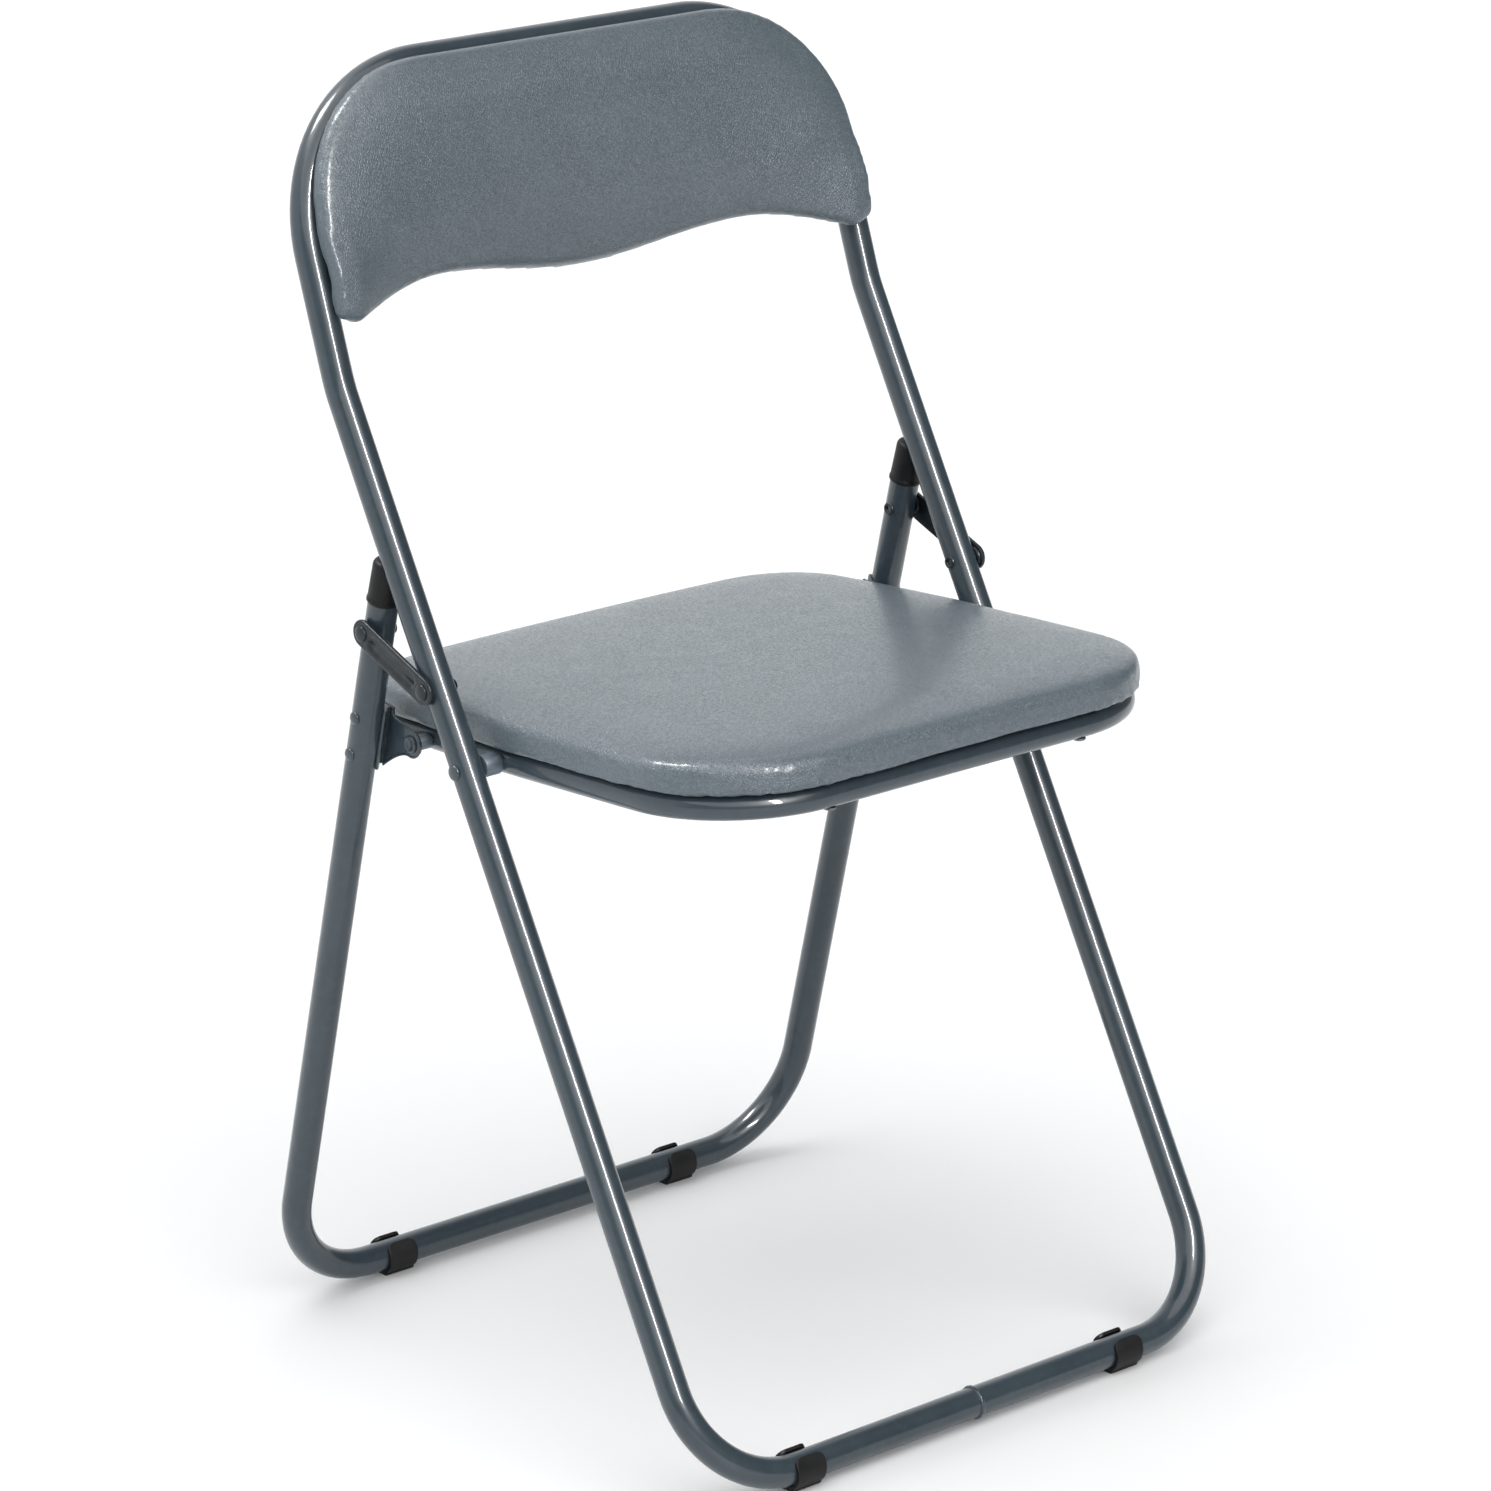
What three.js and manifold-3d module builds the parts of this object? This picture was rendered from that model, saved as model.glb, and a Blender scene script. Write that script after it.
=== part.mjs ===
// A padded steel folding chair. Two bent round-tube frames cross below a tipping seat,
// and a short link arm on each side ties the rear legs to the front legs.
// Millimetres, +Z up. The chair faces -Y, so that +X is the left of someone sitting in it.
// The origin is on the floor, in the middle of the open chair's footprint.
import * as THREE from "three";
import { mergeVertices } from "three/addons/utils/BufferGeometryUtils.js";
import Module from "manifold-3d";

// ---------------------------------------------------------------- driving dimensions
const rad = THREE.MathUtils.degToRad;
const GAP = 0.3; // clearance between pieces that touch
const FIT = 0.5; // the same between two faceted tubes

// Frame tubes
const TUBE_R = 9.5; // 19 mm round tube
const TUBE_WALL = 1.2;
const SEAT_TUBE_R = 8; // 16 mm round tube
const TUBE_SIDES = 12; // facets round a tube
const CORNER_STEPS = 6; // facets along each bent corner
const HALF_SPAN = 210; // symmetry plane to a leg's centre line
const SEAM = 0.4; // butt joint where a loop of tube closes

// Front frame: crossbar, legs that lean back, then the upper loop behind the back pad
const FRONT_LEAN = rad(29.1);
const BACK_LEAN = rad(19.23);
const FRONT_LEG = 691.2; // crossbar centre to the knee, along the leg
const BACK_HEIGHT = 185.1; // knee to the top bar's centre
const FRONT_CORNER_R = 66;
const KNEE_R = 90;
const TOP_CORNER_R = 106;

// Rear frame: a U of tube with plugged ends
const REAR_LEAN = rad(13.79);
const BASE_DEPTH = 415.6; // front crossbar to rear crossbar on the floor
const REAR_CORNER_R = 67;
const REAR_TUBE_END = 502; // along the rear leg
const CAP_START = 495;
const CAP_END = 523;
const CAP_R = 10.5;
const CAP_TAPER = 0.8; // radius lost up the plug's side
const CAP_CROWN = 3; // height of its sloping crown

// Feet
const FOOT_WALL = 2.5;
const FOOT_LENGTH = 22;
const FOOT_OPENING = rad(74); // the clip is open at its top over this angle
const TREAD_WIDTH = 10;
const TREAD_HEIGHT = 2.2;
const TREAD_INSET = 2; // shorter than the clip at each end
const AXLE_HEIGHT = TUBE_R + FOOT_WALL; // crossbar centre above the floor
const FRONT_FOOT_X = { left: 122.5, right: -139.5 };
const REAR_FOOT_X = { left: 113, right: -123 };

// The folding linkage: distances along the front and rear legs, and along the seat
const SEAT_PIVOT = 451.3;
const LINK_FRONT_PIVOT = 502.4;
const LINK_REAR_PIVOT = 475.7;
const BRACKET_RIVETS = [392, 417]; // along the rear leg
const SEAT_REAR_PIVOT = 70.6; // seat pivot to the rear bracket's eye
const SEAT_TILT = rad(3.25); // the seat falls to the rear

// Link arm
const LINK_OFFSET = 1.4; // leg to the arm's plate, taken up by a boss at each rivet
const LINK_BOSS_R = 6;
const LINK_HALF_WIDTH = 8.5;
const LINK_PLATE = 2;
const LINK_RIM = 4; // full depth at the raised rim
const LINK_RIM_WIDTH = 2;

// Seat: outline half widths and the ends, in the seat's own frame from the seat pivot
const SEAT_HALF_WIDTH = 195;
const SEAT_REAR_HALF_WIDTH = 186;
const SEAT_FRONT = -213.5;
const SEAT_REAR = 164;
const SEAT_FRONT_R = 91;
const SEAT_REAR_R = 62;
const SEAT_SIDE_R = 600; // the side's slight bend at the pivot
const SEAT_TUBE_INSET = 15; // pad edge to the ring tube's centre line
const SEAT_SIDE = SEAT_HALF_WIDTH - SEAT_TUBE_INSET; // |x| of the ring tube's side
const SEAT_SCREW_X = 100;
const PAD_BOTTOM = SEAT_TUBE_R + 1;
const PAD_TOP = SEAT_TUBE_R + 24;
const PAD_ROUND = 8;
const BOARD_INSET = 10;
const BOARD_BOTTOM = SEAT_TUBE_R + GAP;
const BOARD_THICK = 8;

// Back pad: outline in the plane of the upper loop, heights from the knee
const BACK_HALF_WIDTH = 211;
const BACK_TOP = 187.5;
const BACK_CORNER_R = 94;
const BACK_ARCH = 118; // where the lower edge's two arches are highest
const BACK_ARCH_HEIGHT = 54.5;
const BACK_BULGE_DROP = 10; // the lower edge's middle, below the arches
const BACK_EAR_DROP = 20; // the lower corners, below the arches
const BACK_EAR = 202.5;
const BACK_BOW = 27; // the lower edge's middle bows backwards
const BACK_BOW_HALF = 196;
const BACK_BOW_TOP = 155; // the back is flat across above this height
const BACK_BOARD_THICK = 5;
const BACK_BOARD_INSET = 4;
const BACK_PAD_THICK = 12;
const BACK_PAD_GAP = 1; // board to pad
const BOARD_BACK = TUBE_R + GAP; // the board's rear face, in front of the tube's centre plane

// Tabs welded to the upper loop, which hold the board
const TAB_THICK = 2;
const TAB_SIZE = 16;
const TAB_FRONT = BOARD_BACK - 2.4; // clear of the bowed board
const TAB_REACH = 15.3; // tube centre line to the tab's middle
const SIDE_TAB_HEIGHT = 64;
const TOP_TAB_X = 90;

// Seat brackets on the rear legs
const BRACKET_PLATE = 2.2;
const BRACKET_INNER = HALF_SPAN - TUBE_R - 5.5; // |x| of the plate's inner face
const BRACKET_LOW = 383; // along the rear leg
const BRACKET_HIGH = 423;
const SADDLE_DEPTH = 7;
const SADDLE_HALF_WIDTH = 8;
const WEB_FLARE = 4; // the web's upper edge rises to the saddle over this width
const EYE_R = 8.2;

// Fasteners
const RIVET_R = 3;
const HOLE_R = RIVET_R + GAP;
const RIVET_TAIL_R = 4.5;
const LINK_HEAD_R = 5.2;
const SEAT_HEAD_R = 5;
const EYE_HEAD_R = 5.8;
const EYE_HEAD_HEIGHT = 1.8;
const SMALL_RIVET_R = 2;
const SMALL_TAIL_R = 3.2;
const SMALL_HEAD_R = 4;
const SCREW_R = 2;
const SCREW_HEAD_R = 4;
const SCREW_HEAD_HEIGHT = 2;
const REAR_RING_STEP = 4.1; // how much nearer the middle the ring is at the rear pivot
const BOSS_R = 7; // spacers at the seat pivot
const SMALL_BOSS_R = 5; // spacers at the rear brackets

// ---------------------------------------------------------------- materials
const paint = { color: 0x525f66, roughness: 0.28, metalness: 0.3 };
const vinyl = { color: 0x5f6b71, roughness: 0.5, metalness: 0 };
const black = { color: 0x161617, roughness: 0.55, metalness: 0 };
const board = { color: 0x2a2a2b, roughness: 0.9, metalness: 0 };
const zinc = { color: 0x8d9499, roughness: 0.35, metalness: 0.9 };

// ---------------------------------------------------------------- solids and booleans
const wasm = await Module();
wasm.setup();

// A closed geometry as a manifold-3d solid.
function solid(geometry, matrix) {
  const plain = geometry.clone();
  plain.deleteAttribute("normal");
  plain.deleteAttribute("uv");
  if (matrix) plain.applyMatrix4(matrix);
  const merged = mergeVertices(plain, 1e-4);
  return new wasm.Manifold(
    new wasm.Mesh({
      numProp: 3,
      vertProperties: merged.attributes.position.array,
      triVerts: new Uint32Array(merged.index.array),
    }),
  );
}

// A manifold-3d solid back as a three.js geometry.
function geometryOf(body) {
  const mesh = body.getMesh();
  const geometry = new THREE.BufferGeometry();
  geometry.setAttribute("position", new THREE.BufferAttribute(mesh.vertProperties, 3));
  geometry.setIndex(new THREE.BufferAttribute(mesh.triVerts, 1));
  geometry.computeVertexNormals();
  return geometry;
}

// base minus every cutter; each is a solid() result.
function cut(base, cutters) {
  return cutters.reduce((body, cutter) => body.subtract(cutter), base);
}

// A cylinder between two points, as a solid.
function rod(from, to, radius, sides = 12, radiusTo = radius) {
  const along = new THREE.Vector3().subVectors(to, from);
  const geometry = new THREE.CylinderGeometry(radiusTo, radius, along.length(), sides);
  const turn = new THREE.Quaternion().setFromUnitVectors(
    new THREE.Vector3(0, 1, 0),
    along.clone().normalize(),
  );
  const middle = new THREE.Vector3().addVectors(from, to).multiplyScalar(0.5);
  return solid(geometry, new THREE.Matrix4().compose(middle, turn, new THREE.Vector3(1, 1, 1)));
}

const at = (x, y, z) => new THREE.Vector3(x, y, z);

// ---------------------------------------------------------------- bent tube
// Stations (point and tangent) along straight runs joined by circular bends.
// corners is a list of { p, r }; a closed path bends at every corner.
function bentStations(corners, closed = false, steps = CORNER_STEPS) {
  const stations = [];
  const count = corners.length;
  corners.forEach(({ p, r }, i) => {
    const isEnd = !closed && (i === 0 || i === count - 1);
    const before = corners[(i - 1 + count) % count].p;
    const after = corners[(i + 1) % count].p;
    if (isEnd) {
      const other = i === 0 ? after : before;
      const tangent = new THREE.Vector3().subVectors(other, p).normalize();
      if (i > 0) tangent.negate();
      stations.push({ point: p.clone(), tangent });
      return;
    }
    const into = new THREE.Vector3().subVectors(p, before).normalize();
    const out = new THREE.Vector3().subVectors(after, p).normalize();
    const turn = into.angleTo(out);
    const axis = new THREE.Vector3().crossVectors(into, out).normalize();
    const start = p.clone().addScaledVector(into, -r * Math.tan(turn / 2));
    const inward = new THREE.Vector3().crossVectors(axis, into);
    const centre = start.clone().addScaledVector(inward, r);
    const facets = Math.max(2, Math.ceil((steps * turn) / (Math.PI / 2)));
    for (let k = 0; k <= facets; k++) {
      const angle = (turn * k) / facets;
      const spoke = inward.clone().negate().applyAxisAngle(axis, angle);
      stations.push({
        point: centre.clone().addScaledVector(spoke, r),
        tangent: into.clone().applyAxisAngle(axis, angle),
      });
    }
  });
  return stations;
}

// A curve whose parameter steps from station to station, so that an extrusion along it
// has one section at each station.
class StationCurve extends THREE.Curve {
  constructor(stations) {
    super();
    this.stations = stations;
  }
  getUtoTmapping(u) {
    return u;
  }
  pick(t, key) {
    const place = t * (this.stations.length - 1);
    const i = Math.min(Math.floor(place), this.stations.length - 2);
    return this.stations[i][key].clone().lerp(this.stations[i + 1][key], place - i);
  }
  getPoint(t) {
    return this.pick(t, "point");
  }
  getTangent(t) {
    return this.pick(t, "tangent").normalize();
  }
}

// A round bar along the stations; with a wall it is a hollow tube, open at both ends.
function bar(stations, radius, wall = 0) {
  const section = new THREE.Shape();
  section.absarc(0, 0, radius, 0, 2 * Math.PI);
  if (wall > 0) {
    const bore = new THREE.Path();
    bore.absarc(0, 0, radius - wall, 0, 2 * Math.PI, true);
    section.holes.push(bore);
  }
  return solid(
    new THREE.ExtrudeGeometry(section, {
      steps: stations.length - 1,
      curveSegments: TUBE_SIDES / 2,
      extrudePath: new StationCurve(stations),
    }),
  );
}

// ---------------------------------------------------------------- scene graph
const group = new THREE.Group();

const frontFrame = new THREE.Group();
frontFrame.position.set(0, -BASE_DEPTH / 2, AXLE_HEIGHT);
frontFrame.rotation.x = -FRONT_LEAN;
group.add(frontFrame);

const backPlane = new THREE.Group(); // origin at the knee, in the plane of the upper loop
backPlane.position.set(0, 0, FRONT_LEG);
backPlane.rotation.x = FRONT_LEAN - BACK_LEAN;
frontFrame.add(backPlane);

const rearFrame = new THREE.Group();
rearFrame.position.set(0, BASE_DEPTH / 2, AXLE_HEIGHT);
rearFrame.rotation.x = REAR_LEAN;
group.add(rearFrame);

const seat = new THREE.Group(); // origin at the seat pivot, in the plane of the ring tube
seat.position.set(
  0,
  -BASE_DEPTH / 2 + SEAT_PIVOT * Math.sin(FRONT_LEAN),
  AXLE_HEIGHT + SEAT_PIVOT * Math.cos(FRONT_LEAN),
);
seat.rotation.x = -SEAT_TILT;
group.add(seat);

for (const part of [group, frontFrame, backPlane, rearFrame, seat]) part.updateMatrixWorld(true);

// A point of one group, expressed in another.
const carry = (point, from, to) => to.worldToLocal(from.localToWorld(point.clone()));

function add(parent, name, shape, material) {
  const geometry = shape.isBufferGeometry ? shape : geometryOf(shape);
  const mesh = new THREE.Mesh(geometry, new THREE.MeshStandardMaterial(material));
  mesh.name = name;
  parent.add(mesh);
  return mesh;
}

const SIDES = [
  { side: "left", sign: 1 },
  { side: "right", sign: -1 },
];

// ---------------------------------------------------------------- fasteners
// A rivet from head to tail along +X: domed head below x = 0, rolled end past x = length.
function rivet(length, headRadius, shankRadius = RIVET_R, tailRadius = RIVET_TAIL_R) {
  const headHeight = headRadius * 0.42;
  const profile = [
    [0, -headHeight],
    [headRadius * 0.6, -headHeight * 0.82],
    [headRadius, -headHeight * 0.2],
    [headRadius, 0],
    [shankRadius, 0],
    [shankRadius, length],
    [tailRadius, length],
    [tailRadius * 0.8, length + 1.2],
    [shankRadius * 0.5, length + 1.2],
    [shankRadius * 0.4, length - 1],
    [0, length - 1],
  ];
  const lathe = new THREE.LatheGeometry(
    profile.map(([r, h]) => new THREE.Vector2(r, h)),
    12,
  );
  return solid(lathe, new THREE.Matrix4().makeRotationZ(-Math.PI / 2));
}

// Places a rivet across the chair: its head's underside at |x| = outer, pointing outwards.
function placeRivet(parent, name, sign, outer, y, z, shape) {
  const mesh = add(parent, name, shape, paint);
  mesh.position.set(sign * outer, y, z);
  mesh.rotation.z = sign > 0 ? Math.PI : 0;
  return mesh;
}

// A pan-head screw along +Z with its head below z = 0.
function screw(length) {
  const profile = [
    [0, -SCREW_HEAD_HEIGHT],
    [SCREW_HEAD_R * 0.7, -SCREW_HEAD_HEIGHT],
    [SCREW_HEAD_R, -SCREW_HEAD_HEIGHT / 2],
    [SCREW_HEAD_R, 0],
    [SCREW_R, 0],
    [SCREW_R, length - 2],
    [0, length],
  ];
  return solid(
    new THREE.LatheGeometry(
      profile.map(([r, h]) => new THREE.Vector2(r, h)),
      10,
    ),
    new THREE.Matrix4().makeRotationX(Math.PI / 2),
  );
}

// ---------------------------------------------------------------- front frame
const kneeTurn = FRONT_LEAN - BACK_LEAN;
const topY = -BACK_HEIGHT * Math.sin(kneeTurn);
const topZ = FRONT_LEG + BACK_HEIGHT * Math.cos(kneeTurn);

function crossHoles(y, z, radius) {
  return rod(at(-HALF_SPAN - 20, y, z), at(HALF_SPAN + 20, y, z), radius);
}

function frontStations() {
  const half = [
    { p: at(HALF_SPAN, 0, 0), r: FRONT_CORNER_R },
    { p: at(HALF_SPAN, 0, FRONT_LEG), r: KNEE_R },
    { p: at(HALF_SPAN, topY, topZ), r: TOP_CORNER_R },
  ];
  const mirrored = half.map(({ p, r }) => ({ p: at(-p.x, p.y, p.z), r })).reverse();
  const ends = [at(SEAM / 2, 0, 0), at(-SEAM / 2, 0, 0)];
  return bentStations([{ p: ends[0], r: 0 }, ...half, ...mirrored, { p: ends[1], r: 0 }]);
}
const frontTube = cut(bar(frontStations(), TUBE_R, TUBE_WALL), [
  crossHoles(0, SEAT_PIVOT, HOLE_R),
  crossHoles(0, LINK_FRONT_PIVOT, HOLE_R),
]);
add(frontFrame, "front_frame_tube", frontTube, paint);

// The raised weld where the loop's two ends meet, in the middle of the crossbar.
function weldBead() {
  const inner = TUBE_R + GAP;
  const profile = [
    [inner, -2],
    [inner + 1, -1.2],
    [inner + 1.3, 0],
    [inner + 1, 1.2],
    [inner, 2],
    [inner, -2],
  ];
  const lathe = new THREE.LatheGeometry(
    profile.map(([r, h]) => new THREE.Vector2(r, h)),
    16,
  );
  return solid(lathe, new THREE.Matrix4().makeRotationZ(-Math.PI / 2));
}
add(frontFrame, "crossbar_weld_bead", weldBead(), paint);

// ---------------------------------------------------------------- backrest
function backTop(x) {
  const past = Math.abs(x) - (BACK_HALF_WIDTH - BACK_CORNER_R);
  if (past <= 0) return BACK_TOP;
  return BACK_TOP - BACK_CORNER_R + Math.sqrt(Math.max(0, BACK_CORNER_R ** 2 - past ** 2));
}

function backBottom(x) {
  const out = Math.abs(x);
  if (out < BACK_ARCH) {
    return BACK_ARCH_HEIGHT - (BACK_BULGE_DROP / 2) * (1 + Math.cos((Math.PI * out) / BACK_ARCH));
  }
  if (out < BACK_EAR) {
    const share = (out - BACK_ARCH) / (BACK_EAR - BACK_ARCH);
    return BACK_ARCH_HEIGHT - BACK_EAR_DROP * (1 - Math.cos((Math.PI / 2) * share));
  }
  const ear = BACK_ARCH_HEIGHT - BACK_EAR_DROP;
  const cornerR = BACK_HALF_WIDTH - BACK_EAR;
  return ear + cornerR - Math.sqrt(Math.max(0, cornerR ** 2 - (out - BACK_EAR) ** 2));
}

// How far the back is bowed behind a flat plane.
function backBow(x, height) {
  const across = 1 - Math.min(1, Math.abs(x) / BACK_BOW_HALF) ** 2;
  const low = (BACK_BOW_TOP - height) / (BACK_BOW_TOP - (BACK_ARCH_HEIGHT - BACK_BULGE_DROP));
  return BACK_BOW * across * Math.max(0, low);
}

// A slab of the backrest between two distances in front of the tube's centre plane.
function backSlab(from, thick, inset) {
  const slab = new THREE.BoxGeometry(2, 1, 2, 28, 1, 5);
  const place = slab.attributes.position;
  const scale = (BACK_HALF_WIDTH - inset) / BACK_HALF_WIDTH;
  for (let i = 0; i < place.count; i++) {
    const x = BACK_HALF_WIDTH * Math.sin((Math.PI / 2) * place.getX(i));
    const share = (place.getZ(i) + 1) / 2;
    const low = backBottom(x) + inset;
    const high = backTop(x) - inset;
    const height = low + (high - low) * share;
    const forward = from + thick * (0.5 - place.getY(i)) - backBow(x * scale, height);
    place.setXYZ(i, x * scale, -forward, height);
  }
  return solid(slab);
}

// The tabs at the sides and under the top bar, each with one screw into the board.
// Each is cut to the run of the upper loop it is welded to.
const topRun = [at(-150, 0, BACK_HEIGHT), at(150, 0, BACK_HEIGHT)];
const TABS = SIDES.flatMap(({ side, sign }) => [
  {
    name: "lower_" + side,
    x: sign * (HALF_SPAN - TAB_REACH),
    height: SIDE_TAB_HEIGHT,
    run: [at(sign * HALF_SPAN, 0, 0), at(sign * HALF_SPAN, 0, BACK_HEIGHT)],
  },
  { name: "upper_" + side, x: sign * TOP_TAB_X, height: BACK_HEIGHT - TAB_REACH, run: topRun },
]);

function backScrewHole({ x, height }) {
  const tip = -BOARD_BACK - BACK_BOARD_THICK + 1;
  return rod(at(x, 0, height), at(x, tip, height), SCREW_R + GAP);
}

add(
  backPlane,
  "back_board",
  cut(backSlab(BOARD_BACK, BACK_BOARD_THICK, BACK_BOARD_INSET), TABS.map(backScrewHole)),
  board,
);
const padBack = BOARD_BACK + BACK_BOARD_THICK + BACK_PAD_GAP;
add(backPlane, "back_pad", backSlab(padBack, BACK_PAD_THICK, 0), vinyl);

for (const tab of TABS) {
  const plate = new THREE.BoxGeometry(TAB_SIZE, TAB_THICK, TAB_SIZE);
  plate.translate(tab.x, -TAB_FRONT + TAB_THICK / 2, tab.height);
  const shape = cut(solid(plate), [rod(...tab.run, TUBE_R + GAP, 24), backScrewHole(tab)]);
  add(backPlane, "back_tab_" + tab.name, shape, paint);
  const fastener = add(backPlane, "back_screw_" + tab.name, screw(BACK_BOARD_THICK + 2), zinc);
  fastener.position.set(tab.x, -(TAB_FRONT - TAB_THICK) + GAP, tab.height);
  fastener.rotation.x = Math.PI / 2;
}

// ---------------------------------------------------------------- rear frame
function rearStations() {
  return bentStations([
    { p: at(HALF_SPAN, 0, REAR_TUBE_END), r: 0 },
    { p: at(HALF_SPAN, 0, 0), r: REAR_CORNER_R },
    { p: at(-HALF_SPAN, 0, 0), r: REAR_CORNER_R },
    { p: at(-HALF_SPAN, 0, REAR_TUBE_END), r: 0 },
  ]);
}
const rearTube = cut(bar(rearStations(), TUBE_R, TUBE_WALL), [
  crossHoles(0, LINK_REAR_PIVOT, HOLE_R),
  ...BRACKET_RIVETS.map((height) => crossHoles(0, height, SMALL_RIVET_R + GAP)),
]);
add(rearFrame, "rear_frame_tube", rearTube, paint);

// The plugs on the rear legs' ends. Each is hollowed at the front by the front leg it rests on.
const frontLegAxis = [at(0, 0, 300), at(0, 0, 650)].map((p) => carry(p, frontFrame, rearFrame));
for (const { side, sign } of SIDES) {
  const x = sign * HALF_SPAN;
  const shoulder = CAP_END - CAP_CROWN;
  const top = CAP_R - CAP_TAPER;
  const shell = rod(at(x, 0, CAP_START), at(x, 0, shoulder), CAP_R, 20, top);
  const crown = rod(at(x, 0, shoulder), at(x, 0, CAP_END), top, 20, top - CAP_CROWN);
  const [low, high] = frontLegAxis.map((p) => at(x, p.y, p.z));
  const cap = cut(shell.add(crown), [
    rod(at(x, 0, CAP_START - 5), at(x, 0, REAR_TUBE_END + GAP), TUBE_R + GAP, 20),
    rod(low, high, TUBE_R + GAP, 24),
  ]);
  add(rearFrame, "rear_cap_" + side, cap, black);
}

// ---------------------------------------------------------------- feet
// A springy clip round a crossbar, open at its top, with a flat tread underneath.
function foot(x, lean, crossbar) {
  const inner = TUBE_R + GAP;
  const outer = TUBE_R + FOOT_WALL;
  const half = FOOT_OPENING / 2;
  const section = new THREE.Shape();
  section.absarc(0, 0, outer, Math.PI / 2 + half, Math.PI / 2 - half + 2 * Math.PI);
  section.absarc(0, 0, inner, Math.PI / 2 - half + 2 * Math.PI, Math.PI / 2 + half, true);
  const clip = new THREE.ExtrudeGeometry(section, {
    depth: FOOT_LENGTH,
    steps: 1,
    curveSegments: 14,
    bevelEnabled: false,
  });
  clip.translate(0, 0, -FOOT_LENGTH / 2);
  clip.rotateY(Math.PI / 2);
  clip.rotateX(Math.PI / 2); // the section's +Y becomes +Z
  const tread = new THREE.BoxGeometry(FOOT_LENGTH - 2 * TREAD_INSET, TREAD_WIDTH, TREAD_HEIGHT);
  tread.translate(0, 0, TREAD_HEIGHT / 2 - outer);
  const stand = new THREE.Matrix4().makeRotationX(lean).setPosition(x, 0, 0);
  return solid(clip, stand).add(solid(tread, stand)).subtract(crossbar);
}

function addFeet(parent, prefix, places, lean, stations) {
  const crossbar = bar(stations, TUBE_R + FIT);
  for (const { side } of SIDES) {
    add(parent, prefix + side, foot(places[side], lean, crossbar), black);
  }
}
addFeet(frontFrame, "front_foot_", FRONT_FOOT_X, FRONT_LEAN, frontStations());
addFeet(rearFrame, "rear_foot_", REAR_FOOT_X, -REAR_LEAN, rearStations());

// ---------------------------------------------------------------- seat brackets
// A pressed bracket inside each rear leg: a saddle on the tube and a web out to the eye.
const eye = carry(at(0, SEAT_REAR_PIVOT, 0), seat, rearFrame);

function bracket(sign) {
  const outline = new THREE.Shape();
  const forward = -eye.y;
  outline.moveTo(-SADDLE_HALF_WIDTH, BRACKET_LOW);
  outline.lineTo(SADDLE_HALF_WIDTH - 2, BRACKET_LOW);
  outline.quadraticCurveTo(forward - EYE_R, eye.z - EYE_R, forward, eye.z - EYE_R);
  outline.absarc(forward, eye.z, EYE_R, -Math.PI / 2, Math.PI / 2);
  outline.lineTo(SADDLE_HALF_WIDTH + WEB_FLARE, eye.z + EYE_R);
  outline.lineTo(SADDLE_HALF_WIDTH, BRACKET_HIGH);
  outline.lineTo(-SADDLE_HALF_WIDTH, BRACKET_HIGH);
  const plate = new THREE.ExtrudeGeometry(outline, {
    depth: BRACKET_PLATE,
    curveSegments: 8,
    bevelEnabled: false,
  });
  // The outline's first axis is forward (-Y), its second runs up the leg.
  const stand = new THREE.Matrix4().makeBasis(at(0, -1, 0), at(0, 0, 1), at(-1, 0, 0));
  plate.applyMatrix4(stand);
  plate.translate(sign > 0 ? BRACKET_INNER + BRACKET_PLATE : -BRACKET_INNER, 0, 0);
  const saddle = new THREE.BoxGeometry(
    SADDLE_DEPTH,
    2 * SADDLE_HALF_WIDTH,
    BRACKET_HIGH - BRACKET_LOW,
  );
  saddle.translate(
    sign * (BRACKET_INNER + SADDLE_DEPTH / 2),
    0,
    (BRACKET_LOW + BRACKET_HIGH) / 2,
  );
  const leg = rod(
    at(sign * HALF_SPAN, 0, BRACKET_LOW - 10),
    at(sign * HALF_SPAN, 0, BRACKET_HIGH + 10),
    TUBE_R + GAP,
    24,
  );
  const cutters = [leg, crossHoles(eye.y, eye.z, HOLE_R)];
  for (const height of BRACKET_RIVETS) cutters.push(crossHoles(0, height, SMALL_RIVET_R + GAP));
  return cut(solid(plate).add(solid(saddle)), cutters);
}

for (const { side, sign } of SIDES) {
  add(rearFrame, "seat_bracket_" + side, bracket(sign), paint);
  BRACKET_RIVETS.forEach((height, i) => {
    const name = "bracket_rivet_" + (i ? "upper_" : "lower_") + side;
    const reach = HALF_SPAN + TUBE_R + GAP - BRACKET_INNER + GAP;
    const shape = rivet(reach, SMALL_HEAD_R, SMALL_RIVET_R, SMALL_TAIL_R);
    placeRivet(rearFrame, name, sign, HALF_SPAN + TUBE_R + GAP, 0, height, shape);
  });
  // The rear pivot: its rivet ends inside the eye, short of the spacer on the seat ring.
  // This is where the closed linkage is opened.
  const eyeOuter = BRACKET_INNER + BRACKET_PLATE + GAP;
  const shank = rod(at(-1, 0, 0), at(eyeOuter - BRACKET_INNER, 0, 0), RIVET_R);
  const dome = rod(at(-EYE_HEAD_HEIGHT, 0, 0), at(0, 0, 0), EYE_HEAD_R * 0.75, 12, EYE_HEAD_R);
  placeRivet(rearFrame, "rear_pivot_rivet_" + side, sign, eyeOuter, eye.y, eye.z, shank.add(dome));
}

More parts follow.
